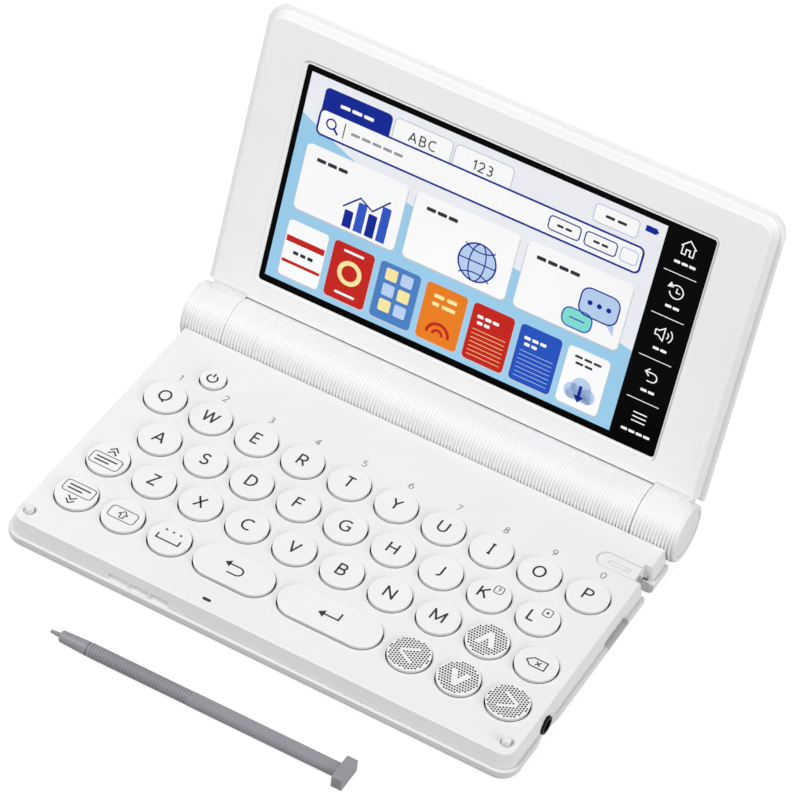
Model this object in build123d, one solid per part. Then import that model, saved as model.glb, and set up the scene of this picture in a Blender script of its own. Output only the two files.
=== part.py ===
"""Electronic dictionary: a clamshell with a letter keyboard, a battery barrel as its hinge and a stylus.

Frame: +X right, +Y back, +Z up, in millimetres. The origin is the middle of the bottom case's flat
underside, and the feet reach below it. The lid is modelled open, leaning back from upright.
"""

from build123d import *
import os
from math import asin, cos, degrees, radians, sin, sqrt

# Case outline and heights
CASE_WIDTH = 148.0          # across the lip of the bottom case
DECK_DEPTH = 83.7           # front crease of the deck to its rear edge
SIDE_DRAFT = 1.0            # how far the top case widens from deck to parting line
LIP = 0.8                   # how far the bottom case stands out past the top case
FOOT_HEIGHT = 0.6
BOTTOM_HEIGHT = 3.4         # underside to parting line
TOP_HEIGHT = 4.8            # parting line to deck
DECK_CORNER = 3.5           # plan radius of the deck's front corners
DECK_EDGE = 0.35            # rounding of the crease round the deck
WALL = 1.3                  # side walls of the top case
RIM = 2.3                   # side walls of the bottom case
FLOOR = 1.2
DECK = 1.4
BOTTOM_EDGE = 1.8           # rounding under the bottom case
RIM_EDGE = 0.3              # rounding on top of its lip
PARTING_GROOVE = 0.3        # height and depth of the groove along both parting lines

# Barrel and hinge
BARREL_RADIUS = 8.1
CELL_BORE = 7.35            # radius of the battery space
AXIS_BELOW_DECK = 0.3
AXIS_BEHIND_DECK = 8.6      # deck's rear edge to the hinge axis
SECTION_GAP = 0.2           # between the middle stretch and the lid's end sections
END_SECTION = 10.8          # length of each end section
CAP_THICKNESS = 2.1
CAP_STEP = 0.05
CAP_EDGE = 0.8
CAP_RIM = 1.5
CAP_DISH = 0.6
CAP_OVERHANG = 0.5          # how far the caps stand out past the lip of the case
END_WALL = 6.9              # solid ends of the middle stretch
PIN_RADIUS = 2.0
PIN_PRESS = 0.02            # radial clearance where a pin is fixed
PIN_RUNNING = 0.05          # radial clearance where it turns
PIN_IN_CORE = 6.0
PIN_IN_LID = 9.0
PIN_END_GAP = 0.5
NECK_INSET = 15.4           # tongue that ties the barrel into the base, from the core's ends
NECK_HEIGHT = 3.0
NECK_IN_CASE = 4.0
NECK_GAP = 0.15

# Battery cover and cells
COVER_CENTRE = 295.0        # degrees round the axis, 0 = back, 90 = up
COVER_SPREAD_ANGLE = 150.0
COVER_INSET = 9.4           # hatch, from the core's ends
COVER_GAP = 0.15
CELL_RADIUS = 7.1
NUB_RADIUS = 2.6
NUB_LENGTH = 1.2
CONTACT_DEPTH = 4.0         # end wall to cell
CONTACT_PLATE = 0.4
CONTACT_RADIUS = 5.6
SPRING_RADIUS = 4.0
BUTTON_RADIUS = 2.2
CELL_END_GAP = 0.1

# Keys
COLUMNS = 10
KEYS_LEFT = 10.0            # deck's side crease to the middle of the first column
KEYS_RIGHT = 8.8
ROW_BEHIND_CREASE = (57.7, 43.8, 30.0, 15.1)
ROW_SHIFT_COLUMNS = (0.0, 0.5, 0.0, 0.0)
KEY_RADIUS = 5.65
KEY_GAP = 0.3
KEY_PROUD = 1.0
KEY_UNDER_DECK = 0.5        # how far a key reaches below the deck's underside
KEY_TRAVEL = 0.8
POWER_RADIUS = 3.5
POWER_BEHIND_CREASE = 70.6
POWER_COLUMN = 0.485
BACK_COLUMNS = (2.97, 3.77)     # columns of the pill's two end centres
ENTER_COLUMNS = (4.74, 6.0)

# Board, key mat and what the board carries
BOARD = 0.8
MAT = 0.8
MAT_CLEARANCE = 0.1         # left under a pressed key
BOARD_SIDE = 5.7            # inside the deck's creases
BOARD_FRONT = 7.8
BOARD_REAR = 11.6
BOARD_CORNER = 2.0
MAT_INSET = 0.6
POST_SIZE = (3.0, 1.2)
POST_INSET = (26.5, 14.5)   # from the board's sides, and from its front and rear edges

# Ports on the right side and the openings of the front
JACK_BEHIND_CREASE = 18.4
JACK_HEIGHT = 3.3           # centre above the underside
JACK_RADIUS = 1.8
JACK_BODY = (12.0, 5.0)
JACK_LIFT = 2.1             # half height of the jack's body
JACK_NOSE_RADIUS = 2.5
JACK_NOSE = 3.4             # how far the nose reaches out of the body
JACK_NOSE_SINK = 0.6        # nose below the lip's outer face
JACK_DISH = (3.2, 6.8)      # radii of the dish round the nose, at its foot and its mouth
JACK_DISH_FOOT = 1.2        # foot of the dish below the lip's outer face
JACK_DISH_HEIGHT = 1.5
JACK_GAP = 0.15
JACK_END_WALL = 1.0
PORT_GAP = 0.4              # board cut-outs round a part
CARD_BEFORE_REAR = 28.4
CARD_WIDTH = 11.4
CARD_OPENING = 1.8
CARD_SCOOP = (13.0, 5.6)    # pill-shaped dip above the slot
CARD_SCOOP_TOP = 1.8        # its top above the parting line
CARD_SCOOP_DEPTH = 0.6      # at the parting line
CARD_BODY = (13.5, 14.6)
CARD_SHELL = 0.5
SPEAKER_LENGTH = 16.0
SPEAKER_WIDTH = 5.6
SPEAKER_HEIGHT = 2.8
SPEAKER_X = -33.4
SPEAKER_WALL_GAP = 0.3
SLIT_LENGTH = 5.5
SLIT_PITCH = 6.2
SLIT_HEIGHT = 0.35
SLIT_TOP = 1.7              # above the parting line
SLIT_DIP = 0.55             # depth of the dip below each slit, at the parting line

# Stylus and its slot
SHAFT_RADIUS = 1.98
PEN_CLEARANCE = 0.2
PEN_LENGTH = 82.6           # under the head
PEN_END_GAP = 0.4
PEN_BEFORE_REAR = 11.0
PEN_BELOW_DECK = 4.1
PEN_WALL = 0.6
HEAD_LENGTH = 8.2
HEAD_HEIGHT = 4.3
HEAD_THICKNESS = 2.8
HEAD_CORNER = 0.8
HEAD_GAP = 0.25
SHAFT_FLAT = 1.6            # height of the flat along the shaft above its axis
GRIP_RADIUS = 1.96
GRIP_LENGTH = 29.0
GRIP_RINGS = 36
RING_DEPTH = 0.1
COLLAR_LENGTH = 8.4
COLLAR_FRONT = 1.6
COLLAR_REAR = 1.9
COLLAR_EDGE = 0.3
NIB_LENGTH = 2.9
NIB_RADIUS = 0.65
NIB_TIP = 0.45
GROOVE = 0.5
GROOVE_RADIUS = 1.4
DECK_NOTCH = (2.7, 3.6)     # notch in the top case, ahead of the slot's axis and behind it
CASE_NOTCH = 2.5            # half the notch in the bottom case
NOTCH_DEPTH = 1.9           # from the deck's crease inwards
LABEL_RECESS = (11.8, 5.4)
LABEL_DEPTH = 0.4
LABEL_BEFORE_REAR = 11.4
STYLUS_HEAD_X = 37.3        # where the stylus lies beside the base
STYLUS_Y = -70.6
STYLUS_TURN = 0.5           # degrees, tip towards the front

# Small parts of the base
BUMPER_RADIUS = 1.2
BUMPER_RING = 0.45
BUMPER_EDGE = 0.3
BUMPER_SINK = 0.6
BUMPER_INSET = (3.1, 4.0)   # from the deck's side and front creases
BUMPER_LID_GAP = 0.3
INDICATOR_LENGTH = 2.4
INDICATOR_WIDTH = 0.9
INDICATOR_X = -15.9
INDICATOR_BEHIND_CREASE = 3.2
FRONT_SCREW_INSET = (12.0, 4.3)     # from the lip's side, and from the deck's front crease
REAR_SCREW_INSET = (22.0, 3.6)      # the same from its rear edge
SCREW_RADIUS = 0.8
SCREW_HEAD_RADIUS = 1.6
SCREW_HEAD = 0.8
SCREW_LENGTH = 4.4
SCREW_GAP = 0.05
SCREW_SINK = 0.2            # head below the underside
BOSS_RADIUS = 2.1
FOOT_RADIUS = 4.0
FOOT_INSET = (11.0, 8.0)    # from the lip's sides, and from its front and rear edges

# Lid, measured from the hinge axis
LID_LEAN = 16.0             # degrees back from upright
FACE_SETBACK = 2.2          # the bezel's face lies this far behind the axis
LID_REACH = 91.2            # axis to the lid's far edge
LID_SIDE = 1.3              # how far the bezel's sloping side widens the lid
LID_LIP = 1.2               # how far the lid's back stands out past the bezel
LID_OVERHANG = 0.6          # and past the lip of the case
BEZEL_DEPTH = 3.2           # face to parting line
LID_PLATE = 1.2
LID_WALL = 1.1
LID_CORNER = 3.5
COVER_EDGE = 2.3            # rounding of the lid's back
BEZEL_FROM_AXIS = 8.4       # where the lid's two shells stop short of the barrel's end sections
COVER_FROM_AXIS = 7.6
SECTION_INSET = 0.4         # end section's blend, inside the bezel's side crease
CORE_CLEARANCE = 0.5        # lid to middle stretch of the barrel
CREASE_FILLET = 1.2         # where bezel and end sections of the barrel meet
WINDOW_SIDE = 14.8          # inside the lip of the case
WINDOW_FAR = 11.7           # from the lid's far edge
WINDOW_FROM_AXIS = 15.4
WINDOW_CORNER = 0.6
WINDOW_BEVEL = 1.4
GLASS_GAP = 0.1
GLASS_SINK = 0.55
GLASS = 0.65
PANEL_MARGIN = 1.5
PANEL = 2.0

# Places worked out from the sizes above
DECK_WIDTH = CASE_WIDTH - 2 * (SIDE_DRAFT + LIP)
DEPTH = SIDE_DRAFT + LIP + DECK_DEPTH + AXIS_BEHIND_DECK + BARREL_RADIUS
CREASE_Y = -DEPTH / 2 + SIDE_DRAFT + LIP
REAR_Y = CREASE_Y + DECK_DEPTH
AXIS_Y = REAR_Y + AXIS_BEHIND_DECK
PARTING_Z = BOTTOM_HEIGHT
DECK_Z = PARTING_Z + TOP_HEIGHT
CEILING_Z = DECK_Z - DECK
AXIS_Z = DECK_Z - AXIS_BELOW_DECK
KEY_BOTTOM_Z = CEILING_Z - KEY_UNDER_DECK
MAT_TOP_Z = KEY_BOTTOM_Z - KEY_TRAVEL - MAT_CLEARANCE
BOARD_TOP_Z = MAT_TOP_Z - MAT
BOARD_Z = BOARD_TOP_Z - BOARD
PEN_Z = DECK_Z - PEN_BELOW_DECK
PEN_Y = REAR_Y - PEN_BEFORE_REAR
PEN_BORE = SHAFT_RADIUS + PEN_CLEARANCE
NOTCH_X = DECK_WIDTH / 2 - NOTCH_DEPTH
HALF_CORE = CASE_WIDTH / 2 + CAP_OVERHANG - CAP_THICKNESS - END_SECTION - SECTION_GAP
HALF_SPACE = HALF_CORE - END_WALL
CELL_LENGTH = HALF_SPACE - CONTACT_DEPTH - CELL_END_GAP
NECK_HALF = HALF_CORE - NECK_INSET
COVER_LENGTH = 2 * (HALF_CORE - COVER_INSET)
FIRST_COLUMN = KEYS_LEFT - DECK_WIDTH / 2
PITCH = (DECK_WIDTH - KEYS_LEFT - KEYS_RIGHT) / (COLUMNS - 1)
BOARD_WIDTH = DECK_WIDTH - 2 * BOARD_SIDE
BOARD_DEPTH = DECK_DEPTH - BOARD_FRONT - BOARD_REAR
WINDOW_WIDTH = CASE_WIDTH - 2 * WINDOW_SIDE
HALF_LID = CASE_WIDTH / 2 + LID_OVERHANG - LID_LIP - LID_SIDE
WINDOW_HEIGHT = LID_REACH - WINDOW_FROM_AXIS - WINDOW_FAR
FAR = 4 * CASE_WIDTH
FACE_W = -FACE_SETBACK
LID_PARTING_W = FACE_W - BEZEL_DEPTH
BACK_W = -BARREL_RADIUS
LID_CLEAR_RADIUS = BARREL_RADIUS + CORE_CLEARANCE
JACK_Y = CREASE_Y + JACK_BEHIND_CREASE
CARD_Y = REAR_Y - CARD_BEFORE_REAR
SCREW_PLACES = (
    (CASE_WIDTH / 2 - FRONT_SCREW_INSET[0], CREASE_Y + FRONT_SCREW_INSET[1]),
    (CASE_WIDTH / 2 - REAR_SCREW_INSET[0], REAR_Y - REAR_SCREW_INSET[1]),
)

LID_PLANE = Plane(
    origin=(0, AXIS_Y, AXIS_Z),
    x_dir=(1, 0, 0),
    z_dir=(0, -cos(radians(LID_LEAN)), sin(radians(LID_LEAN))),
)
ON_AXIS = Pos(0, AXIS_Y, AXIS_Z) * Rot(0, 90, 0)
LETTER_ROWS = ("qwertyuiop", "asdfghjkl", "zxcvbnm")


def block(x0, x1, y0, y1, z0, z1):
    """Box between two corners."""
    return Pos((x0 + x1) / 2, (y0 + y1) / 2, (z0 + z1) / 2) * Box(x1 - x0, y1 - y0, z1 - z0)


def disc(x, y, z0, z1, radius):
    """Upright cylinder from z0 to z1."""
    return Pos(x, y, (z0 + z1) / 2) * Cylinder(radius, z1 - z0)


def along_axis(x0, x1, radius):
    """Cylinder on the hinge axis from x0 to x1."""
    return Pos((x0 + x1) / 2, 0, 0) * ON_AXIS * Cylinder(radius, abs(x1 - x0))


def rod_x(x0, x1, y, z, radius):
    """Cylinder along X from x0 to x1."""
    return Pos((x0 + x1) / 2, y, z) * Rot(0, 90, 0) * Cylinder(radius, abs(x1 - x0))


def both_sides(piece):
    """A piece and its mirror image across the middle of the case."""
    return [piece, mirror(piece, about=Plane.YZ)]


def plan(grow, z, rear=REAR_Y):
    """Outline of the case at height z, grown past the deck's crease; its rear overhangs to be trimmed."""
    spare = 3 * DECK_CORNER
    width = DECK_WIDTH + 2 * grow
    depth = rear + spare - (CREASE_Y - grow)
    middle = (rear + spare + CREASE_Y - grow) / 2
    return Pos(0, middle, z) * RectangleRounded(width, depth, DECK_CORNER + grow)


def trimmed(shape, rear=REAR_Y):
    """Cut a case shape off square at its rear edge."""
    return shape - block(-FAR, FAR, rear, FAR, -FAR, FAR)


def key_places():
    """Name and (x, y) of each round letter and function key."""
    rows = [CREASE_Y + back for back in ROW_BEHIND_CREASE]

    def spot(row, column):
        return FIRST_COLUMN + (column + ROW_SHIFT_COLUMNS[row]) * PITCH, rows[row]

    places = {}
    for row, letters in enumerate(LETTER_ROWS):
        first = 1 if row == 2 else 0
        for column, letter in enumerate(letters):
            places["key_" + letter] = spot(row, column + first)
    for name, row, column in (
        ("page_up", 2, 0), ("up", 2, 8), ("delete", 2, 9), ("page_down", 3, 0), ("shift", 3, 1),
        ("space", 3, 2), ("left", 3, 7), ("down", 3, 8), ("right", 3, 9),
    ):
        places["key_" + name] = spot(row, column)
    return places


def pill_places():
    """Name and (first end x, second end x, y) of the two long keys."""
    y = CREASE_Y + ROW_BEHIND_CREASE[3]
    ends = {"key_back": BACK_COLUMNS, "key_enter": ENTER_COLUMNS}
    return {name: tuple(FIRST_COLUMN + c * PITCH for c in pair) + (y,) for name, pair in ends.items()}


def power_place():
    return FIRST_COLUMN + POWER_COLUMN * PITCH, CREASE_Y + POWER_BEHIND_CREASE


def pill_outline(first, second, y, radius):
    """Long key's outline: two round ends joined by straight sides."""
    return Pos((first + second) / 2, y) * SlotOverall(second - first + 2 * radius, 2 * radius)


def key_outlines(grow):
    """All key outlines, by node name, grown by the same amount."""
    shapes = {name: Pos(*place) * Circle(KEY_RADIUS + grow) for name, place in key_places().items()}
    shapes["key_power"] = Pos(*power_place()) * Circle(POWER_RADIUS + grow)
    for name, (first, second, y) in pill_places().items():
        shapes[name] = pill_outline(first, second, y, KEY_RADIUS + grow)
    return shapes


def keys():
    """Each key is a flat-topped cap that stands a little above the deck."""
    height = DECK_Z + KEY_PROUD - KEY_BOTTOM_Z
    outlines = key_outlines(0)
    return {name: extrude(Pos(0, 0, KEY_BOTTOM_Z) * outlines[name], height) for name in outlines}


def screw_spots():
    """Screw places on both sides of the case."""
    return [(side * x, y) for x, y in SCREW_PLACES for side in (-1, 1)]


def pen_bore():
    """Round bore for the stylus, open to the notch that takes its head."""
    return rod_x(NOTCH_X - PEN_LENGTH - PEN_END_GAP, NOTCH_X + HEAD_GAP, PEN_Y, PEN_Z, PEN_BORE)


def notch(ahead, behind, z0, z1):
    """Notch in the right side, from the slot's end outwards."""
    return block(NOTCH_X, CASE_WIDTH, PEN_Y - ahead, PEN_Y + behind, z0, z1)


def jack_dish():
    """Conical dish round the headphone socket."""
    foot = CASE_WIDTH / 2 - JACK_DISH_FOOT
    cone = Cone(JACK_DISH[0], JACK_DISH[1], JACK_DISH_HEIGHT)
    return Pos(foot + JACK_DISH_HEIGHT / 2, JACK_Y, JACK_HEIGHT) * Rot(0, 90, 0) * cone


def jack_hole():
    inner = jack_outer_x() - JACK_NOSE - JACK_GAP
    return rod_x(inner, CASE_WIDTH, JACK_Y, JACK_HEIGHT, JACK_NOSE_RADIUS + JACK_GAP)


def card_slot():
    """Slot for the memory card, just under the parting line."""
    half = CARD_WIDTH / 2
    inner = CASE_WIDTH / 2 - RIM - PORT_GAP
    return block(inner, CASE_WIDTH, CARD_Y - half, CARD_Y + half, PARTING_Z - CARD_OPENING, PARTING_Z)


def card_scoop():
    """Pill-shaped dip in the side over the card slot."""
    middle = PARTING_Z + CARD_SCOOP_TOP - CARD_SCOOP[1] / 2
    floor = CASE_WIDTH / 2 - LIP - CARD_SCOOP_DEPTH
    side = Plane(origin=(floor, CARD_Y, middle), x_dir=(0, 1, 0), z_dir=(1, 0, 0))
    return side.location * extrude(SlotOverall(*CARD_SCOOP), CASE_WIDTH)


def front_slits():
    """Three sound slits in the front wall, each at the top of a shallow dip."""
    cuts = []
    top = PARTING_Z + SLIT_TOP
    back = CREASE_Y - SIDE_DRAFT + SLIT_DIP
    for i in range(3):
        left = SPEAKER_X + (i - 1) * SLIT_PITCH - SLIT_LENGTH / 2
        right = left + SLIT_LENGTH
        cuts.append(block(left, right, -DEPTH, back, PARTING_Z, top))
        cuts.append(block(left, right, -DEPTH, CREASE_Y + WALL, top - SLIT_HEIGHT, top))
    return cuts


def label_recess():
    """Shallow recess on the deck that points to the stylus slot."""
    length, width = LABEL_RECESS
    y = REAR_Y - LABEL_BEFORE_REAR
    outline = Pos(NOTCH_X - length / 2 + width / 2, y) * SlotOverall(length + width, width)
    return extrude(Pos(0, 0, DECK_Z - LABEL_DEPTH) * outline, DECK_Z)


def top_case():
    """Deck with its key wells, sloping sides, screw bosses and the stylus tube under the deck."""
    shell = loft([plan(SIDE_DRAFT, PARTING_Z), plan(0, DECK_Z)])
    shell = trimmed(fillet(shell.faces().sort_by(Axis.Z)[-1].edges(), DECK_EDGE))
    slope = SIDE_DRAFT * DECK / TOP_HEIGHT
    inside = loft([plan(SIDE_DRAFT - WALL, PARTING_Z), plan(slope - WALL, CEILING_Z)])
    shell -= trimmed(inside, REAR_Y - WALL)

    tube = block(
        NOTCH_X - PEN_LENGTH - PEN_END_GAP - PEN_WALL, NOTCH_X, PEN_Y - PEN_BORE - PEN_WALL,
        PEN_Y + PEN_BORE + PEN_WALL, PEN_Z - PEN_BORE - PEN_WALL, CEILING_Z,
    )
    ahead, behind = DECK_NOTCH
    first = PEN_Y - ahead - PEN_WALL
    last = PEN_Y + behind + PEN_WALL
    notch_wall = block(NOTCH_X - PEN_WALL, DECK_WIDTH / 2 - WALL / 2, first, last, PARTING_Z, CEILING_Z)
    shell += tube + notch_wall
    for x, y in screw_spots():
        shell += disc(x, y, PARTING_Z, CEILING_Z, BOSS_RADIUS)

    outlines = key_outlines(KEY_GAP).values()
    wells = [extrude(Pos(0, 0, CEILING_Z - DECK) * outline, 3 * DECK) for outline in outlines]
    screw_top = SCREW_HEAD + SCREW_LENGTH + SCREW_GAP
    holes = [disc(x, y, PARTING_Z, screw_top, SCREW_RADIUS + SCREW_GAP) for x, y in screw_spots()]
    bumper_wells = [
        disc(x, y, DECK_Z - BUMPER_SINK, 2 * DECK_Z, BUMPER_RADIUS + BUMPER_RING) for x, y in bumper_spots()
    ]
    shell = shell - wells - holes - bumper_wells - front_slits()
    shell = shell - pen_bore() - notch(ahead, behind, 0, 2 * DECK_Z) - jack_dish() - jack_hole()
    shell = shell - card_scoop() - label_recess() - indicator_shape(SCREW_GAP, 1)
    groove = extrude(plan(SIDE_DRAFT + LIP, PARTING_Z), PARTING_GROOVE)
    groove -= extrude(plan(SIDE_DRAFT - PARTING_GROOVE, PARTING_Z), PARTING_GROOVE)
    return shell - groove - neck_shape(NECK_GAP)


def bottom_case():
    """Shallow tray whose rounded lip stands out all round, with bosses, posts and port cut-outs."""
    tray = extrude(plan(SIDE_DRAFT + LIP, 0), BOTTOM_HEIGHT)
    tray = fillet(tray.faces().sort_by(Axis.Z)[0].edges(), BOTTOM_EDGE)
    tray = fillet(tray.faces().sort_by(Axis.Z)[-1].edges(), RIM_EDGE)
    tray = trimmed(tray)
    inside = extrude(plan(SIDE_DRAFT + LIP - RIM, FLOOR), BOTTOM_HEIGHT)
    tray -= trimmed(inside, REAR_Y - RIM)
    for x, y in screw_spots():
        tray += disc(x, y, FLOOR / 2, PARTING_Z, BOSS_RADIUS)
    for x, y in post_spots():
        half, thin = POST_SIZE[0] / 2, POST_SIZE[1] / 2
        tray += block(x - half, x + half, y - thin, y + thin, FLOOR / 2, BOARD_Z)
    half = CASE_NOTCH + PEN_WALL
    outer = CASE_WIDTH / 2 - RIM / 2
    tray += block(NOTCH_X + HEAD_GAP, outer, PEN_Y - half, PEN_Y + half, FLOOR / 2, PARTING_Z)
    cuts = []
    for x, y in screw_spots():
        cuts.append(disc(x, y, -FLOOR, SCREW_HEAD, SCREW_HEAD_RADIUS + SCREW_GAP))
        cuts.append(disc(x, y, 0, PARTING_Z, SCREW_RADIUS + SCREW_GAP))
    tray = tray - cuts - notch(CASE_NOTCH, CASE_NOTCH, -DECK_Z, DECK_Z)
    return tray - jack_dish() - jack_hole() - card_slot()


def post_spots():
    """Ribs that carry the board."""
    x = BOARD_WIDTH / 2 - POST_INSET[0]
    front = CREASE_Y + BOARD_FRONT + POST_INSET[1]
    rear = REAR_Y - BOARD_REAR - POST_INSET[1]
    return [(side * x, y) for y in (front, rear) for side in (-1, 1)] + [(0, (front + rear) / 2)]


def neck_shape(grow):
    """Tongue from the barrel through the top case's rear wall, resting on the bottom case's rim."""
    half = NECK_HALF + grow
    front = REAR_Y - NECK_IN_CASE - grow
    return block(-half, half, front, AXIS_Y, PARTING_Z, PARTING_Z + NECK_HEIGHT + grow)


def sector(inner, outer, length, centre, spread, gap):
    """Stretch of a tube's wall between two angles round the hinge axis."""
    half = radians(spread / 2)
    reach = 2 * outer
    turn = gap / inner
    wedge = Polyline(
        (0, 0), (reach * cos(half - turn), -reach * sin(half - turn)), (reach, -reach),
        (reach, reach), (reach * cos(half - turn), reach * sin(half - turn)), close=True,
    )
    ring = Circle(outer) - Circle(inner)
    flat = ring & make_face(wedge)
    solid = extrude(Rot(0, 0, centre) * flat, length / 2 - gap, both=True)
    upright = Plane(origin=(0, AXIS_Y, AXIS_Z), x_dir=(0, 1, 0), z_dir=(1, 0, 0))
    return upright.location * solid


def battery_housing():
    """Middle stretch of the barrel: a tube for two cells with solid ends, a hatch and its neck."""
    tube = along_axis(-HALF_CORE, HALF_CORE, BARREL_RADIUS) + neck_shape(0)
    tube -= along_axis(-HALF_SPACE, HALF_SPACE, CELL_BORE)
    for side in (-1, 1):
        tube -= along_axis(side * (HALF_CORE - PIN_IN_CORE), side * HALF_CORE, PIN_RADIUS + PIN_PRESS)
    return tube - sector(CELL_BORE / 2, 2 * BARREL_RADIUS, COVER_LENGTH, COVER_CENTRE, COVER_SPREAD_ANGLE, 0)


def battery_cover():
    """Hatch that closes the underside of the barrel, flush with its surface."""
    return sector(CELL_BORE, BARREL_RADIUS, COVER_LENGTH, COVER_CENTRE, COVER_SPREAD_ANGLE, COVER_GAP)


def cell(first):
    """One cell with its raised nub towards +X, starting at x = first."""
    can = first + CELL_LENGTH - NUB_LENGTH
    return along_axis(first, can, CELL_RADIUS) + along_axis(can, first + CELL_LENGTH, NUB_RADIUS)


def battery_cells():
    left = -CELL_LENGTH - CELL_END_GAP / 2
    return [cell(left), cell(left + CELL_LENGTH + CELL_END_GAP)]


def battery_contacts():
    """Plate with a button for the nub, and plate with a pressed spring for the flat end."""
    end = HALF_SPACE - CONTACT_DEPTH
    plate = HALF_SPACE - CONTACT_PLATE
    plus = along_axis(plate, HALF_SPACE, CONTACT_RADIUS) + along_axis(end, HALF_SPACE, BUTTON_RADIUS)
    minus = along_axis(-HALF_SPACE, -plate, CONTACT_RADIUS) + along_axis(-HALF_SPACE, -end, SPRING_RADIUS)
    return [plus, minus]


def hinge_pins():
    inner = HALF_CORE - PIN_IN_CORE
    return both_sides(along_axis(inner, HALF_CORE + SECTION_GAP + PIN_IN_LID, PIN_RADIUS))


def keypad_mat():
    """Rubber sheet that carries the keys' switches, cut away over the headphone jack."""
    return board_shape(BOARD_TOP_Z, MAT, MAT_INSET)


def board_shape(z, thickness, inset):
    middle = CREASE_Y + BOARD_FRONT + BOARD_DEPTH / 2
    outline = RectangleRounded(BOARD_WIDTH - 2 * inset, BOARD_DEPTH - 2 * inset, BOARD_CORNER)
    sheet = extrude(Pos(0, middle, z) * outline, thickness)
    half = JACK_BODY[1] / 2 + PORT_GAP + inset
    inner = jack_inner_x() - PORT_GAP - inset
    over_jack = block(inner, CASE_WIDTH, JACK_Y - half, JACK_Y + half, z - 1, z + 2)
    tube_end = NOTCH_X - PEN_LENGTH - PEN_END_GAP - PEN_WALL - PORT_GAP - inset
    tube_front = PEN_Y - PEN_BORE - PEN_WALL - PORT_GAP - inset
    beside_tube = block(tube_end, CASE_WIDTH, tube_front, REAR_Y, z - 1, z + 2)
    return sheet - over_jack - beside_tube


def main_board():
    return board_shape(BOARD_Z, BOARD, 0)


def jack_outer_x():
    return CASE_WIDTH / 2 - JACK_NOSE_SINK


def jack_inner_x():
    return jack_outer_x() - JACK_NOSE - JACK_BODY[0]


def headphone_jack():
    """Socket body with a round nose that ends at the case's side."""
    half = JACK_BODY[1] / 2
    outer = jack_outer_x()
    body = block(
        jack_inner_x(), outer - JACK_NOSE, JACK_Y - half, JACK_Y + half, FLOOR, JACK_HEIGHT + JACK_LIFT
    )
    nose = rod_x(outer - JACK_NOSE, outer, JACK_Y, JACK_HEIGHT, JACK_NOSE_RADIUS)
    return body + nose - rod_x(jack_inner_x() + JACK_END_WALL, outer, JACK_Y, JACK_HEIGHT, JACK_RADIUS)


def card_socket():
    """Flat socket under the board, open to the slot in the case."""
    outer = CASE_WIDTH / 2 - RIM - PORT_GAP / 2
    half = CARD_BODY[1] / 2
    body = block(outer - CARD_BODY[0], outer, CARD_Y - half, CARD_Y + half, FLOOR, BOARD_Z)
    slot = block(
        outer - CARD_BODY[0] + CARD_SHELL, outer, CARD_Y - CARD_WIDTH / 2, CARD_Y + CARD_WIDTH / 2,
        PARTING_Z - CARD_OPENING, PARTING_Z,
    )
    return body - slot


def speaker():
    """Flat sound unit behind the slits of the front wall."""
    y = CREASE_Y + SPEAKER_WIDTH / 2 + WALL + SPEAKER_WALL_GAP
    body = extrude(Pos(SPEAKER_X, y, FLOOR) * SlotOverall(SPEAKER_LENGTH, SPEAKER_WIDTH), SPEAKER_HEIGHT)
    cone = Pos(SPEAKER_X, y, FLOOR + SPEAKER_HEIGHT)
    dish = extrude(cone * SlotOverall(SPEAKER_LENGTH - 2, SPEAKER_WIDTH - 2), -SPEAKER_HEIGHT / 4)
    return body - dish


def rubber_feet():
    x = CASE_WIDTH / 2 - FOOT_INSET[0]
    front = CREASE_Y - SIDE_DRAFT - LIP + FOOT_INSET[1]
    spots = [(side * x, y) for y in (front, REAR_Y - FOOT_INSET[1]) for side in (-1, 1)]
    return [disc(x, y, -FOOT_HEIGHT, 0, FOOT_RADIUS) for x, y in spots]


def bumper_spots():
    x = DECK_WIDTH / 2 - BUMPER_INSET[0]
    return [(side * x, CREASE_Y + BUMPER_INSET[1]) for side in (-1, 1)]


def deck_bumpers():
    """Rubber buttons in ring wells; the closed lid comes down on them."""
    top = AXIS_Z + FACE_SETBACK - BUMPER_LID_GAP
    pads = [disc(x, y, DECK_Z - BUMPER_SINK, top, BUMPER_RADIUS) for x, y in bumper_spots()]
    return [chamfer(pad.faces().sort_by(Axis.Z)[-1].edges(), BUMPER_EDGE) for pad in pads]


def case_screws():
    def screw(x, y):
        head = disc(x, y, SCREW_SINK, SCREW_HEAD, SCREW_HEAD_RADIUS)
        return head + disc(x, y, SCREW_HEAD, SCREW_HEAD + SCREW_LENGTH, SCREW_RADIUS)

    return [screw(x, y) for x, y in screw_spots()]


def indicator_shape(grow, reach):
    spot = Pos(INDICATOR_X, CREASE_Y + INDICATOR_BEHIND_CREASE, CEILING_Z - reach * grow)
    outline = SlotOverall(INDICATOR_LENGTH + 2 * grow, INDICATOR_WIDTH + 2 * grow)
    return extrude(spot * outline, DECK + reach * 2 * grow)


def indicator():
    """Small dark lens in the front of the deck."""
    return indicator_shape(0, 0)


def lid_plan(grow, w):
    """Outline of the lid at depth w; its near end overhangs past the barrel to be trimmed."""
    width = 2 * (HALF_LID + grow)
    far = LID_REACH - LID_SIDE - LID_LIP + grow
    near = -4 * LID_CORNER
    return Pos(0, (far + near) / 2, w) * RectangleRounded(width, far - near, LID_CORNER + grow)


def lid_inside(v):
    """Everything in the lid's frame that is nearer to the axis than v."""
    return block(-FAR, FAR, -FAR, v, -FAR, FAR)


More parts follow.
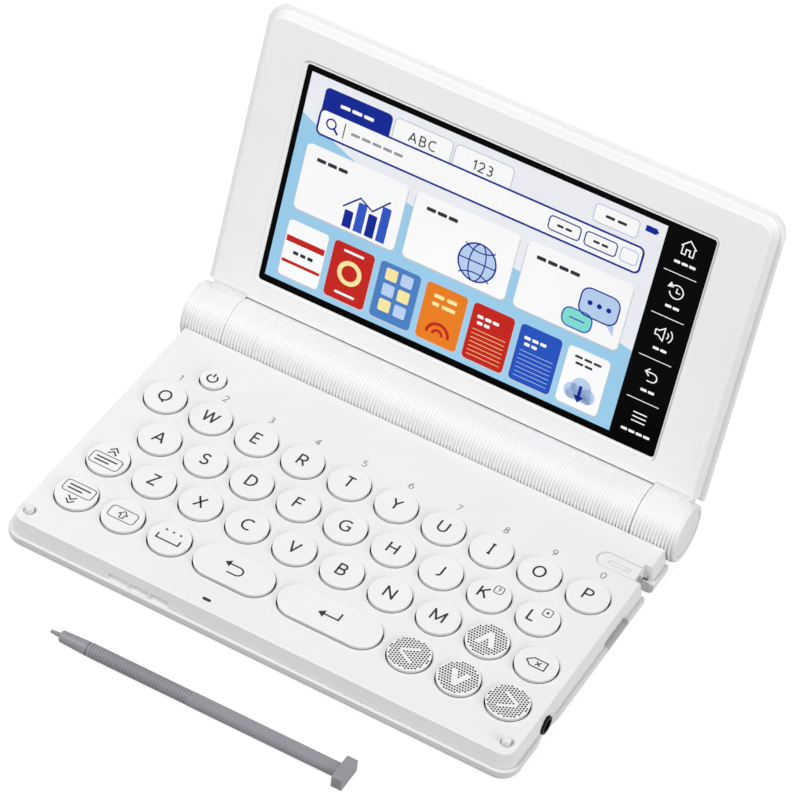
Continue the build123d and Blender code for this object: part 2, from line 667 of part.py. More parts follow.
def section_profile():
    """End section of the barrel seen along the axis, blended into the lid's face and back."""
    top = section_top()
    front = Pos(top / 2, (FACE_W + LID_PARTING_W) / 2) * Rectangle(top, FACE_W - LID_PARTING_W)
    back = Pos(COVER_FROM_AXIS / 2, (LID_PARTING_W + BACK_W) / 2)
    shape = Circle(BARREL_RADIUS) + front + back * Rectangle(COVER_FROM_AXIS, LID_PARTING_W - BACK_W)
    meet = Vector(sqrt(BARREL_RADIUS**2 - FACE_W**2), FACE_W)
    corner = shape.vertices().sort_by(lambda p: (Vector(p.X, p.Y) - meet).length)[0]
    return fillet(corner, CREASE_FILLET)


def section_top():
    return LID_CLEAR_RADIUS + CREASE_FILLET


def end_section(side):
    """Barrel end that turns with the lid, with a blind bore for its hinge pin."""
    across = Plane(origin=(0, 0, 0), x_dir=(0, 1, 0), z_dir=(1, 0, 0))
    start = HALF_CORE + SECTION_GAP
    blend_end = HALF_LID - SECTION_INSET
    piece = Pos(start, 0, 0) * (across.location * extrude(section_profile(), blend_end - start))
    piece += Pos(start + END_SECTION / 2, 0, 0) * Rot(0, 90, 0) * Cylinder(BARREL_RADIUS, END_SECTION)
    bore_end = start + PIN_IN_LID + PIN_END_GAP
    bore = Cylinder(PIN_RADIUS + PIN_RUNNING, bore_end - start)
    piece -= Pos((start + bore_end) / 2, 0, 0) * Rot(0, 90, 0) * bore
    return piece if side > 0 else mirror(piece, about=Plane.YZ)


def clear_of_core(shape):
    """Cut away what would foul the middle stretch of the barrel."""
    half = HALF_CORE + SECTION_GAP
    core = Rot(0, 90, 0) * Cylinder(LID_CLEAR_RADIUS, 2 * half)
    return shape - core - block(-half, half, -FAR, 0, -FAR, FAR)


def beside_core(v):
    """Everything nearer to the axis than v, to both sides of the middle stretch."""
    half = HALF_CORE + SECTION_GAP
    return [block(half, FAR, -FAR, v, -FAR, FAR), block(-FAR, -half, -FAR, v, -FAR, FAR)]


def lid_bezel():
    """Front of the lid: framed window, sloping sides, and the barrel's two end sections."""
    shell = loft([lid_plan(LID_SIDE, LID_PARTING_W), lid_plan(0, FACE_W)])
    shell = fillet(shell.faces().sort_by(Axis.Z)[-1].edges(), DECK_EDGE)
    groove = extrude(lid_plan(LID_SIDE + LID_LIP, LID_PARTING_W), PARTING_GROOVE)
    shell -= groove - extrude(lid_plan(LID_SIDE - PARTING_GROOVE, LID_PARTING_W), PARTING_GROOVE)
    slope = LID_SIDE * LID_PLATE / BEZEL_DEPTH
    low = lid_plan(LID_SIDE - LID_WALL, LID_PARTING_W)
    inside = loft([low, lid_plan(slope - LID_WALL, FACE_W - LID_PLATE)])
    shell -= inside - lid_inside(section_top() + LID_WALL)
    shell = clear_of_core(shell - beside_core(BEZEL_FROM_AXIS))
    for side in (-1, 1):
        shell += end_section(side)
    opening = extrude(window_outline(0, FACE_W - 2 * LID_PLATE), 3 * LID_PLATE)
    bevel = loft([window_outline(0, FACE_W - GLASS_SINK), window_outline(WINDOW_BEVEL, FACE_W)])
    return LID_PLANE.location * (shell - opening - bevel)


def lid_cover():
    """Back of the lid: a shallow shell whose lip stands out past the bezel."""
    shell = extrude(lid_plan(LID_SIDE + LID_LIP, BACK_W), LID_PARTING_W - BACK_W)
    shell = fillet(shell.faces().sort_by(Axis.Z)[0].edges(), COVER_EDGE)
    inside = extrude(lid_plan(LID_SIDE - LID_WALL, BACK_W + LID_WALL), BEZEL_DEPTH)
    shell -= inside - lid_inside(section_top() + LID_WALL)
    shell = clear_of_core(shell - beside_core(COVER_FROM_AXIS))
    return LID_PLANE.location * shell


def window_outline(grow, w):
    """Outline of the window, grown on every side, at depth w of the lid."""
    middle = WINDOW_FROM_AXIS + WINDOW_HEIGHT / 2
    width = WINDOW_WIDTH + 2 * grow
    height = WINDOW_HEIGHT + 2 * grow
    return Pos(0, middle, w) * RectangleRounded(width, height, WINDOW_CORNER + grow)


def screen_glass():
    back = FACE_W - GLASS_SINK - GLASS
    return LID_PLANE.location * extrude(window_outline(-GLASS_GAP, back), GLASS)


def lcd_panel():
    """Display module behind the glass, larger than the window all round."""
    back = FACE_W - LID_PLATE - PANEL
    return LID_PLANE.location * extrude(window_outline(PANEL_MARGIN, back), PANEL)


def hinge_caps():
    """Dished discs that close the outer ends of the barrel."""
    start = HALF_CORE + SECTION_GAP + END_SECTION
    end = start + CAP_THICKNESS
    radius = BARREL_RADIUS - CAP_STEP
    cap = along_axis(start, end, radius)
    cap = fillet(cap.faces().sort_by(Axis.X)[-1].edges(), CAP_EDGE)
    return both_sides(cap - along_axis(end - CAP_DISH, end, radius - CAP_RIM))


def stylus():
    """Pen with a T-shaped head, turned about its axis and flattened along the shaft."""
    tip = -PEN_LENGTH
    collar = tip + NIB_LENGTH
    grip = collar + COLLAR_LENGTH
    shaft = grip + GRIP_LENGTH
    ring = GRIP_LENGTH / GRIP_RINGS
    outline = [(tip, 0), (tip, NIB_TIP), (collar, NIB_RADIUS), (collar, COLLAR_FRONT - COLLAR_EDGE)]
    outline += [(collar + COLLAR_EDGE, COLLAR_FRONT), (grip - GROOVE, COLLAR_REAR)]
    outline += [(grip - GROOVE, GROOVE_RADIUS), (grip, GROOVE_RADIUS)]
    for i in range(GRIP_RINGS):
        start = grip + i * ring
        outline += [(start, GRIP_RADIUS - RING_DEPTH), (start + ring / 2, GRIP_RADIUS)]
    outline += [(shaft, GRIP_RADIUS - RING_DEPTH), (shaft, SHAFT_RADIUS), (0, SHAFT_RADIUS), (0, 0)]
    body = revolve(make_face(Polyline(*outline, close=True)), Axis.X)
    body -= block(shaft, 1, -SHAFT_RADIUS, SHAFT_RADIUS, SHAFT_FLAT, SHAFT_RADIUS)
    head = block(0, HEAD_THICKNESS, -HEAD_LENGTH / 2, HEAD_LENGTH / 2, -HEAD_HEIGHT / 2, HEAD_HEIGHT / 2)
    head = fillet(head.edges().filter_by(Axis.X), HEAD_CORNER)
    lean = degrees(asin((HEAD_HEIGHT / 2 - GRIP_RADIUS) / (PEN_LENGTH - NIB_LENGTH)))
    place = Pos(STYLUS_HEAD_X, STYLUS_Y, HEAD_HEIGHT / 2 - FOOT_HEIGHT)
    return place * Rot(0, 0, STYLUS_TURN) * Rot(0, -lean, 0) * (body + head)


PARTS = {
    "bottom_case": bottom_case,
    "top_case": top_case,
    "battery_housing": battery_housing,
    "battery_cover": battery_cover,
    "battery_cells": battery_cells,
    "battery_contacts": battery_contacts,
    "hinge_pins": hinge_pins,
    "keypad_mat": keypad_mat,
    "main_board": main_board,
    "headphone_jack": headphone_jack,
    "card_socket": card_socket,
    "speaker": speaker,
    "rubber_feet": rubber_feet,
    "deck_bumpers": deck_bumpers,
    "case_screws": case_screws,
    "indicator": indicator,
    "lid_bezel": lid_bezel,
    "lid_cover": lid_cover,
    "screen_glass": screen_glass,
    "lcd_panel": lcd_panel,
    "hinge_caps": hinge_caps,
    "stylus": stylus,
}

os.makedirs("parts", exist_ok=True)
shapes = {name: make() for name, make in PARTS.items()}
shapes.update(keys())
for name, shape in shapes.items():
    if isinstance(shape, list):
        shape = Compound(children=shape)
    export_step(shape, "parts/" + name + ".step")
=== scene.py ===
"""Electronic dictionary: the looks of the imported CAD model, in its own frame, in metres."""

import math

import bpy
from mathutils import Matrix, Vector


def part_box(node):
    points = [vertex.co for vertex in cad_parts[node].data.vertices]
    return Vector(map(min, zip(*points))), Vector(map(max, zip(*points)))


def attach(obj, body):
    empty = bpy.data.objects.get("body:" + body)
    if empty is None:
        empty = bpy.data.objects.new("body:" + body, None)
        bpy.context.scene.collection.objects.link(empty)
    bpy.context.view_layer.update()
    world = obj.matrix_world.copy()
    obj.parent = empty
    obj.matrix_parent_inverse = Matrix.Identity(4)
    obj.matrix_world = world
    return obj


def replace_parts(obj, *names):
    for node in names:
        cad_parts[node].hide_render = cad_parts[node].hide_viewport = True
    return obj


MM = 0.001
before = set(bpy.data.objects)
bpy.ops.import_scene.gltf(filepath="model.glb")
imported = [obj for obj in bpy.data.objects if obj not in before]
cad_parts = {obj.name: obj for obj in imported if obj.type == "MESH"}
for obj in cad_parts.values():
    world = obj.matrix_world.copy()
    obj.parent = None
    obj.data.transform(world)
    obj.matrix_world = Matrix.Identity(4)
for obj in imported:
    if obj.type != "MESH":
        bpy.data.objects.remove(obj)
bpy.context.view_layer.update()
scene = bpy.context.scene

# Lengths are in mm up to the mesh, where MM turns them into metres. (u, v, w) are the lid's own directions:
# along the hinge, up the lid and out of the screen, from the hinge's axis.
HINGE = Vector((0, 43.0, 7.9))
LEAN = math.radians(16)         # of the lid, back from upright
UP_LID = Vector((0, math.sin(LEAN), math.cos(LEAN)))
OUT_LID = Vector((0, -math.cos(LEAN), math.sin(LEAN)))
DECK_Z = 8.2
KEY_Z = 9.2
GLASS_W = -2.75
FACE_W = -2.2                   # the bezel's face
BARREL = 8.1                    # radius of the ribbed hinge


# ---------------------------------------------------------------- materials

def srgb(*values):
    """Linear colour from 0..255 display values; one value is a grey."""
    values = values * 3 if len(values) == 1 else values
    out = []
    for v in values:
        v = v / 255
        out.append(v / 12.92 if v <= 0.04045 else ((v + 0.055) / 1.055) ** 2.4)
    return out


GRAIN_DEPTH = 0.02              # relief of the moulded grain
SMOOTHEST = 0.03                # least roughness
CLOUD_SPAN = (0.3, 0.7)         # the part of the noise over which the colour changes
CLOUD_DETAIL, GRAIN_DETAIL = 3.0, 4.0


def material(name, colour, rough=0.45, spread=0.03, grain=900.0, bump=0.15, rough_spread=0.06, metal=0.0,
             specular=0.5, glow=0.0, cloud=60.0):
    """Moulded surface: faint clouding of its colour, fine grain in its roughness and relief."""
    mat = bpy.data.materials.new(name)
    mat.use_nodes = True
    nodes, links = mat.node_tree.nodes, mat.node_tree.links
    shader = nodes["Principled BSDF"]
    shader.inputs["Metallic"].default_value = metal
    shader.inputs["Specular IOR Level"].default_value = specular
    place = nodes.new("ShaderNodeTexCoord")

    def noise(scale, detail):
        pattern = nodes.new("ShaderNodeTexNoise")
        pattern.inputs["Scale"].default_value = scale
        pattern.inputs["Detail"].default_value = detail
        links.new(place.outputs["Object"], pattern.inputs["Vector"])
        return pattern.outputs["Fac"]

    wide, fine = noise(cloud, CLOUD_DETAIL), noise(grain, GRAIN_DETAIL)
    tint = nodes.new("ShaderNodeValToRGB")
    for stop, at, change in zip(tint.color_ramp.elements, CLOUD_SPAN, (1 - spread, 1 + spread)):
        stop.position = at
        stop.color = [min(1.0, c * change) for c in colour] + [1]
    links.new(wide, tint.inputs["Fac"])
    links.new(tint.outputs["Color"], shader.inputs["Base Color"])
    span = nodes.new("ShaderNodeMapRange")
    span.inputs["To Min"].default_value = max(SMOOTHEST, rough - rough_spread)
    span.inputs["To Max"].default_value = min(1.0, rough + rough_spread)
    links.new(fine, span.inputs["Value"])
    links.new(span.outputs["Result"], shader.inputs["Roughness"])
    relief = nodes.new("ShaderNodeBump")
    relief.inputs["Strength"].default_value = bump
    relief.inputs["Distance"].default_value = GRAIN_DEPTH * MM
    links.new(fine, relief.inputs["Height"])
    links.new(relief.outputs["Normal"], shader.inputs["Normal"])
    if glow:
        links.new(tint.outputs["Color"], shader.inputs["Emission Color"])
        shader.inputs["Emission Strength"].default_value = glow
    return mat


LID = material("lid_moulding", srgb(244), rough=0.42, spread=0.012, grain=2600, bump=0.25)
WHITE = material("white_moulding", srgb(236), rough=0.42, spread=0.012, grain=2600, bump=0.25)
COVER = material("cover_moulding", srgb(241), rough=0.42, spread=0.012, grain=2600, bump=0.25)
# Greyer copies of the ribbed moulding: painted shade in the grooves, half and full.
RIB_HALF_SHADE = material("ribbed_groove_soft", srgb(230), rough=0.5, spread=0.012, grain=2200, bump=0.12)
RIB_FULL_SHADE = material("ribbed_groove", srgb(214), rough=0.5, spread=0.012, grain=2200, bump=0.12)
RIBBED = material("ribbed_moulding", srgb(238), rough=0.38, spread=0.012, grain=2200, bump=0.12)
# Grey for the window's step and the label's edge and sign: painted shade.
PAINTED_SHADE_GREY = material("window_step", srgb(206), rough=0.5, spread=0.012, grain=2600, bump=0.1)
# The bottom case's white is greyer than the top case's: painted shade on its lip and sides.
LOWER_PAINTED_SHADE = material("lower_moulding", srgb(229), rough=0.46, spread=0.014, grain=2600, bump=0.3)
KEY = material("key_moulding", srgb(239), rough=0.36, spread=0.01, grain=1800, bump=0.1)
CAP = material("cap_moulding", srgb(236), rough=0.4, spread=0.012, grain=2600, bump=0.2)
NUB = material("clear_rubber", srgb(232), rough=0.3, spread=0.02, grain=1500, bump=0.1)
FOOT = material("foot_rubber_grain", srgb(205), rough=0.75, spread=0.05, grain=1600, bump=0.3)
BLACK = material("black_plastic_grain", srgb(22), rough=0.4, spread=0.1, grain=1500, bump=0.2)
SOCKET = material("socket_plastic", srgb(9), rough=0.5, spread=0.1, grain=1500, bump=0.1, specular=0.15)
GLASS = material("cover_glass", srgb(3), rough=0.1, spread=0.1, bump=0.0, rough_spread=0.02, specular=0.03, cloud=20)
MODULE = material("module_metal", srgb(120), rough=0.4, metal=0.7, spread=0.06, bump=0.2)
LENS = material("lens_tint", srgb(58, 60, 66), rough=0.2, spread=0.08, bump=0.05)
STEEL = material("turned_steel", srgb(198), rough=0.28, metal=1.0, spread=0.05, grain=1200, bump=0.2)
CELL = material("cell_jacket_print", srgb(70, 78, 92), rough=0.3, spread=0.08, metal=0.3, bump=0.1)
MAT = material("silicone_mat", srgb(104), rough=0.65, spread=0.04, bump=0.25)
BOARD = material("solder_mask", srgb(30, 92, 58), rough=0.35, spread=0.12, grain=700, bump=0.3, cloud=300)
PEN = material("grey_moulding", srgb(146, 146, 152), rough=0.42, spread=0.03, grain=1800, bump=0.2, specular=0.3)
# Darker copy of the pen's grey: painted shade in the grip's grooves.
PEN_SHADE = material("grey_groove", srgb(124, 124, 130), rough=0.5, spread=0.03, grain=1800, bump=0.1, specular=0.2)
INK = material("legend_ink", srgb(44, 45, 49), rough=0.55, spread=0.05, grain=3000, bump=0.1)
PALE_INK = material("number_ink", srgb(140, 141, 144), rough=0.55, spread=0.04, grain=3000, bump=0.1)
DOT_INK = material("dot_ink", srgb(42, 42, 44), rough=0.6, spread=0.06, grain=3000, bump=0.1)

for names, mat in (
        (("top_case",), WHITE),
        (("lid_cover",), COVER),
        (("lid_bezel",), LID),
        (("bottom_case",), LOWER_PAINTED_SHADE),
        (("battery_housing", "battery_cover"), RIBBED),
        (("hinge_caps",), CAP),
        (("deck_bumpers",), NUB),
        (("rubber_feet",), FOOT),
        (("speaker",), BLACK),
        (("headphone_jack",), SOCKET),
        (("screen_glass",), GLASS),
        (("lcd_panel",), MODULE),
        (("indicator",), LENS),
        (("hinge_pins", "case_screws", "card_socket", "battery_contacts"), STEEL),
        (("battery_cells",), CELL),
        (("keypad_mat",), MAT),
        (("main_board",), BOARD),
        (("stylus",), PEN)):
    for name in names:
        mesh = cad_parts[name].data
        mesh.materials.clear()
        mesh.materials.append(mat)


# ---------------------------------------------------------------- flat shapes, in mm

TINY = 1e-6             # points that are nearer than this are one point
SOFT_TURN = 0.8         # cosine of half the sharpest turn that is still mitred
SHORTEST_MITRE = 0.12   # least cosine that a mitre is worked out with
CORNER_REACH = 0.3      # how far a sharp corner stands out, in widths of the line


def arc(cx, cy, rx, ry, start, end, step=12):
    """Points on an ellipse from one angle to another, in degrees."""
    count = max(3, round(abs(end - start) / step))
    turns = [math.radians(start + (end - start) * i / count) for i in range(count + 1)]
    return [(cx + rx * math.cos(t), cy + ry * math.sin(t)) for t in turns]


def disc(x, y, r, count=28):
    return [(x + r * math.cos(2 * math.pi * i / count), y + r * math.sin(2 * math.pi * i / count))
            for i in range(count)]


def rounded(x0, y0, x1, y1, r, corners=(1, 1, 1, 1)):
    """Rectangle with rounded corners, from the lower left one anticlockwise."""
    spots = ((x0 + r, y0 + r, 180), (x1 - r, y0 + r, 270), (x1 - r, y1 - r, 0), (x0 + r, y1 - r, 90))
    square = ((x0, y0), (x1, y0), (x1, y1), (x0, y1))
    out = []
    for (cx, cy, a), plain, on in zip(spots, square, corners):
        out += arc(cx, cy, r, r, a, a + 90, 15) if on else [plain]
    return out


def ribbon(points, width, closed=False):
    """Faces along a line of even width: mitred at its soft corners, cut square at its sharp ones."""
    pts = [Vector(p) for p in points]
    pts = [p for i, p in enumerate(pts) if i == 0 or (p - pts[i - 1]).length > TINY]
    if closed and (pts[0] - pts[-1]).length < TINY:
        pts.pop()
    n, half = len(pts), width / 2
    arriving, leaving, fills = [], [], []
    for i, p in enumerate(pts):
        before = (p - pts[i - 1]).normalized() if i or closed else None
        after = (pts[(i + 1) % n] - p).normalized() if i < n - 1 or closed else None
        before, after = before or after, after or before
        a, b = Vector((-before.y, before.x)), Vector((-after.y, after.x))
        mid = (a + b).normalized() if (a + b).length > TINY else a
        reach = mid * half / max(mid.dot(a), SHORTEST_MITRE)
        if mid.dot(a) > SOFT_TURN:
            arriving.append((p + reach, p - reach))
            leaving.append(arriving[-1])
            continue
        side = 1 if before.cross(after) > 0 else -1
        inner = p + reach * side
        over = min(half * math.sqrt(max(0.0, 1 / mid.dot(a) ** 2 - 1)), width * CORNER_REACH)
        first = p - a * half * side + before * over
        second = p - b * half * side - after * over
        arriving.append((inner, first) if side > 0 else (first, inner))
        leaving.append((inner, second) if side > 0 else (second, inner))
        fills.append([tuple(inner), tuple(first), tuple(second)])
    for i in range(n if closed else n - 1):
        (a, b), (c, d) = leaving[i], arriving[(i + 1) % n]
        fills.append([tuple(a), tuple(b), tuple(d), tuple(c)])
    return fills


def shifted(polygons, x, y):
    return [[(x + u, y + v) for u, v in p] for p in polygons]


# Strokes of each sign in a box one high, from its lower left corner
GLYPHS = {
    "A": ([(0, 0), (.4, 1), (.8, 0)], [(.13, .32), (.67, .32)]),
    "B": ([(0, .53), (0, 1)] + arc(.3, .765, .24, .235, 90, -90) + [(0, .53)],
          [(0, .53)] + arc(.31, .265, .28, .265, 90, -90) + [(0, 0), (0, .53)]),
    "C": (arc(.46, .5, .46, .5, 58, 302),),
    "D": ([(0, .5), (0, 1)] + arc(.24, .5, .44, .5, 90, -90) + [(0, 0), (0, .5)],),
    "E": ([(.52, 1), (0, 1), (0, 0), (.52, 0)], [(0, .52), (.48, .52)]),
    "F": ([(.52, 1), (0, 1), (0, 0)], [(0, .52), (.47, .52)]),
    "G": (arc(.46, .5, .46, .5, 56, 312) + [(.77, .19), (.77, .48), (.47, .48)],),
    "H": ([(0, 0), (0, 1)], [(.67, 0), (.67, 1)], [(0, .52), (.67, .52)]),
    "I": ([(0, 1), (.27, 1)], [(.135, 1), (.135, 0)], [(0, 0), (.27, 0)]),
    "J": ([(.3, 1)] + arc(.08, .24, .22, .24, 0, -100),),
    "K": ([(0, 0), (0, 1)], [(.6, 1), (.02, .42)], [(.2, .6), (.63, 0)]),
    "L": ([(0, 1), (0, 0), (.48, 0)],),
    "M": ([(0, 0), (.02, 1), (.46, .12), (.9, 1), (.92, 0)],),
    "N": ([(0, 0), (0, 1), (.7, 0), (.7, 1)],),
    "O": (arc(.42, .5, .42, .5, 0, 360),),
    "P": ([(0, 0), (0, 1)] + arc(.3, .735, .27, .265, 90, -90) + [(0, .47)],),
    "Q": (arc(.43, .5, .43, .5, 0, 360), [(.4, .06), (.6, -.2)]),
    "R": ([(0, 0), (0, 1)] + arc(.29, .735, .27, .265, 90, -90) + [(0, .47)], [(.28, .47), (.6, 0)]),
    "S": (arc(.28, .76, .25, .24, 30, 270) + arc(.28, .26, .27, .26, 90, -150),),
    "T": ([(0, 1), (.64, 1)], [(.32, 1), (.32, 0)]),
    "U": ([(0, 1)] + arc(.335, .335, .335, .335, 180, 360) + [(.67, 1)],),
    "V": ([(0, 1), (.35, 0), (.7, 1)],),
    "W": ([(0, 1), (.28, 0), (.56, 1), (.84, 0), (1.12, 1)],),
    "X": ([(0, 1), (.66, 0)], [(.66, 1), (0, 0)]),
    "Y": ([(0, 1), (.33, .48), (.66, 1)], [(.33, .48), (.33, 0)]),
    "Z": ([(.02, 1), (.58, 1), (0, 0), (.6, 0)],),
    "0": (arc(.3, .5, .3, .5, 0, 360),),
    "1": ([(0, .78), (.24, 1), (.24, 0)],),
    "2": (arc(.28, .72, .28, .28, 165, -40) + [(0, 0), (.58, 0)],),
    "3": (arc(.26, .75, .25, .25, 140, -90) + arc(.26, .26, .28, .26, 90, -140),),
    "4": ([(.46, 0), (.46, 1), (0, .28), (.62, .28)],),
    "5": ([(.52, 1), (.1, 1), (.06, .56)] + arc(.26, .32, .29, .32, 115, -140),),
    "6": (arc(.29, .3, .28, .3, 0, 360), [(.02, .36), (.08, .7), (.42, 1)]),
    "7": ([(0, 1), (.56, 1), (.2, 0)],),
    "8": (arc(.28, .76, .22, .24, 0, 360), arc(.28, .27, .28, .27, 0, 360)),
    "9": (arc(.29, .7, .28, .3, 0, 360), [(.56, .64), (.5, .3), (.16, 0)]),
    "?": (arc(.25, .75, .22, .25, 170, -60) + [(.26, .28)], [(.26, .12), (.26, 0)]),
    "*": ([(0, .5), (.6, .5)], [(.15, .22), (.45, .78)], [(.15, .78), (.45, .22)]),
}


def glyph(letter, height, x, y, weight):
    """One sign with its middle at (x, y)."""
    strokes = GLYPHS[letter]
    xs = [p[0] for s in strokes for p in s]
    mid = (min(xs) + max(xs)) / 2
    inner = height - weight
    out = []
    for s in strokes:
        line = [(x + (u - mid) * inner, y + (v - 0.5) * inner) for u, v in s]
        closed = len(s) > 3 and math.dist(s[0], s[-1]) < TINY
        out += ribbon(line, weight, closed)
    return out


SIGN_GAP = 0.28         # between signs in a row, in heights


def word(text, height, x, y, weight):
    """Signs in a row with the row's middle at (x, y)."""
    widths = []
    for c in text:
        xs = [p[0] for s in GLYPHS[c] for p in s]
        widths.append((max(xs) - min(xs)) * height)
    total = sum(widths) + SIGN_GAP * height * (len(text) - 1)
    at, out = x - total / 2, []
    for c, w in zip(text, widths):
        out += glyph(c, height, at + w / 2, y, weight)
        at += w + SIGN_GAP * height
    return out


def on_deck(z):
    """Places (x, y) in mm on the level z."""
    return Matrix.Diagonal((MM, MM, MM, 1)) @ Matrix.Translation((0, 0, z))


def on_lid(w):
    """Places (u, v) in mm on the lid's level w."""
    axes = Matrix((Vector((1, 0, 0)), UP_LID, OUT_LID)).transposed().to_4x4()
    return Matrix.Diagonal((MM, MM, MM, 1)) @ Matrix.Translation(HINGE) @ axes @ Matrix.Translation((0, 0, w))


def between(first, second, count):
    """Faces that join two closed loops of count corners, which start at these places in the list."""
    loop = [(i, (i + 1) % count) for i in range(count)]
    return [[first + i, first + j, second + j, second + i] for i, j in loop]


def piece(name, verts, faces, mat, body, smooth=False):
    """A mesh in metres that rides on a body."""
    mesh = bpy.data.meshes.new(name)
    mesh.from_pydata([tuple(v) for v in verts], [], faces)
    mesh.materials.append(mat)
    mesh.update()
    for p in mesh.polygons:
        p.use_smooth = smooth
    obj = bpy.data.objects.new(name, mesh)
    scene.collection.objects.link(obj)
    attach(obj, body)
    return obj


def decal(name, polygons, place, mat, body):
    """Printed shapes, flat in one plane."""
    verts, faces = [], []
    for p in polygons:
        faces.append(list(range(len(verts), len(verts) + len(p))))
        verts += [place @ Vector((u, v, 0)) for u, v in p]
    piece(name, verts, faces, mat, body)


# ---------------------------------------------------------------- key caps with softened rims

RIM = 0.18              # rounding of the rim
DRAW_IN = 0.17          # of the skirt below the rim
SKIRT_TOP = 1.05        # below the key's top
RIM_FOOT = (0.03, 0.08)  # where the rounding starts: inwards, and below it
RIM_FLAT = 0.06         # from the rounding inwards, before the flat top
RIM_STEP = 15           # degrees
ROUND = 96              # corners of a large round piece


def key_cap(node):
    """A key of the node's size with a softened rim; gives the middle of its top."""
    lo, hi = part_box(node)
    x0, x1, y0, y1, z0 = (v / MM for v in (lo.x, hi.x, lo.y, hi.y, lo.z))
    radius = (y1 - y0) / 2
    cy = (y0 + y1) / 2
    top = (hi.z - lo.z) / MM
    foot_in, foot_down = RIM_FOOT
    profile = [(DRAW_IN, 0.0), (DRAW_IN, top - SKIRT_TOP), (foot_in, top - RIM - foot_down)]
    for degrees in range(0, 91, RIM_STEP):
        a = math.radians(degrees)
        profile.append((RIM - RIM * math.cos(a), top - RIM + RIM * math.sin(a)))
    profile.append((RIM + RIM_FLAT, top))
    verts, faces = [], []
    for inset, height in profile:
        r = radius - inset
        for i in range(ROUND):
            t = 2 * math.pi * (i + 0.5) / ROUND
            cx = x1 - radius if math.cos(t) > 0 else x0 + radius
            verts.append(((cx + r * math.cos(t)) * MM, (cy + r * math.sin(t)) * MM, (z0 + height) * MM))
    for k in range(len(profile) - 1):
        faces += between(k * ROUND, (k + 1) * ROUND, ROUND)
    faces.append([(len(profile) - 1) * ROUND + i for i in range(ROUND)])
    faces.append([ROUND - 1 - i for i in range(ROUND)])
    cap = piece(node + "_cap", verts, faces, KEY, node, True)
    for flat in (-2, -1):
        cap.data.polygons[flat].use_smooth = False
    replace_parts(cap, node)
    return (x0 + x1) / 2, cy


key_at = {}
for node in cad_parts:
    if node.startswith("key_"):
        key_at[node] = key_cap(node)

LETTER_HEIGHT = 4.15
LETTER_STROKE = 0.54
BOX_STROKE = 0.25
SIGN_STROKE = 0.36
PRINT_Z = KEY_Z + 0.015


def legend(node, polygons, mat=INK):
    """Print on a key, drawn about the key's middle."""
    decal(node + "_legend", shifted(polygons, *key_at[node]), on_deck(PRINT_Z), mat, node)


for letter in "ABCDEFGHIJKLMNOPQRSTUVWXYZ":
    corner_sign = {"K": "?", "L": "*"}.get(letter)
    x, y = (-1.55, -0.1) if corner_sign else (-0.15, 0.2)
    shapes = glyph(letter, LETTER_HEIGHT, x, y, LETTER_STROKE)
    if corner_sign:
        shapes += ribbon(rounded(0.25, 1.35, 2.6, 3.95, 0.6), BOX_STROKE, True)
        shapes += glyph(corner_sign, 1.6, 1.42, 2.65, 0.26)
    legend("key_" + letter.lower(), shapes)


def boxed(y, w, h):
    """Outline of a box with round corners across the key's middle."""
    return ribbon(rounded(-w / 2, y - h / 2, w / 2, y + h / 2, 1.0), BOX_STROKE, True)


def chevrons(y, way):
    """Two chevrons over each other, pointing up or down."""
    out = []
    for k in (0, 1):
        tip = y + way * 1.3 * k
        out += ribbon([(-1.25, tip - way * 1.2), (0, tip), (1.25, tip - way * 1.2)], 0.42)
    return out


def bars(x, y, lengths, thick, gap):
    """A row of plain dashes in the place of a word."""
    total = sum(lengths) + gap * (len(lengths) - 1)
    at, out = x - total / 2, []
    for n in lengths:
        out.append(rounded(at, y - thick / 2, at + n, y + thick / 2, min(n, thick) * 0.3))
        at += n + gap
    return out


def text_lines(y, lengths, pitch=1.25, thick=0.5):
    """Plain lines under each other, flush at the left, in the place of words."""
    left = -max(lengths) / 2
    top = y + pitch * (len(lengths) - 1) / 2
    return [rounded(left, top - k * pitch - thick / 2, left + n, top - k * pitch + thick / 2, thick * 0.3)
            for k, n in enumerate(lengths)]


legend("key_page_up", boxed(-1.15, 8.7, 4.1) + text_lines(-1.15, (6.2, 4.4)) + chevrons(2.9, 1))
legend("key_page_down", boxed(1.3, 8.7, 4.0) + text_lines(1.3, (6.2, 4.4)) + chevrons(-2.85, -1))
arrow = [(0, 1.4), (1.25, .1), (.55, .1), (.55, -1.15), (-.55, -1.15), (-.55, .1), (-1.25, .1)]
legend("key_shift", boxed(0.05, 7.75, 4.0) + ribbon(arrow, 0.3, True))
legend("key_space", ribbon([(-3.2, 0.2), (-3.2, -1.5), (3.2, -1.5), (3.2, 0.2)], 0.45)
       + bars(0, 2.1, (0.6,) * 3, 0.6, 1.5))
legend("key_back", ribbon([(-2.0, 1.1)] + arc(1.2, -0.35, 1.45, 1.45, 90, -90) + [(-1.2, -1.8)], 0.46)
       + [[(-3.2, 1.1), (-1.6, -0.1), (-1.6, 2.3)]])
legend("key_enter", ribbon([(2.6, 2.0), (2.6, -0.4), (-1.7, -0.4)], 0.5)
       + [[(-3.2, -0.4), (-1.4, -1.7), (-1.4, 0.9)]])
legend("key_delete", ribbon([(-2.8, 0), (-1.3, 1.4), (2.6, 1.4), (2.6, -1.4), (-1.3, -1.4)], SIGN_STROKE, True)
       + ribbon([(-0.2, -0.65), (1.1, 0.65)], SIGN_STROKE) + ribbon([(-0.2, 0.65), (1.1, -0.65)], SIGN_STROKE))
legend("key_power", ribbon(arc(-0.1, -0.25, 1.4, 1.4, 124, 416), 0.5)
       + ribbon([(-0.1, 0.25), (-0.1, 1.75)], 0.5))

# Printed dots on the four arrow keys, with a bare chevron in the middle
DOT = 0.285             # radius
DOT_FIELD = 5.2         # radius of the printed round
DOT_CLEARANCE = 0.44    # from a dot's middle to the chevron's line
CHEVRON_TIP = 2.45


def off_line(p, a, b):
    """How far p lies from the line between a and b."""
    share = (p - a).dot(b - a) / (b - a).length_squared
    return (p - (a + (b - a) * max(0, min(1, share)))).length


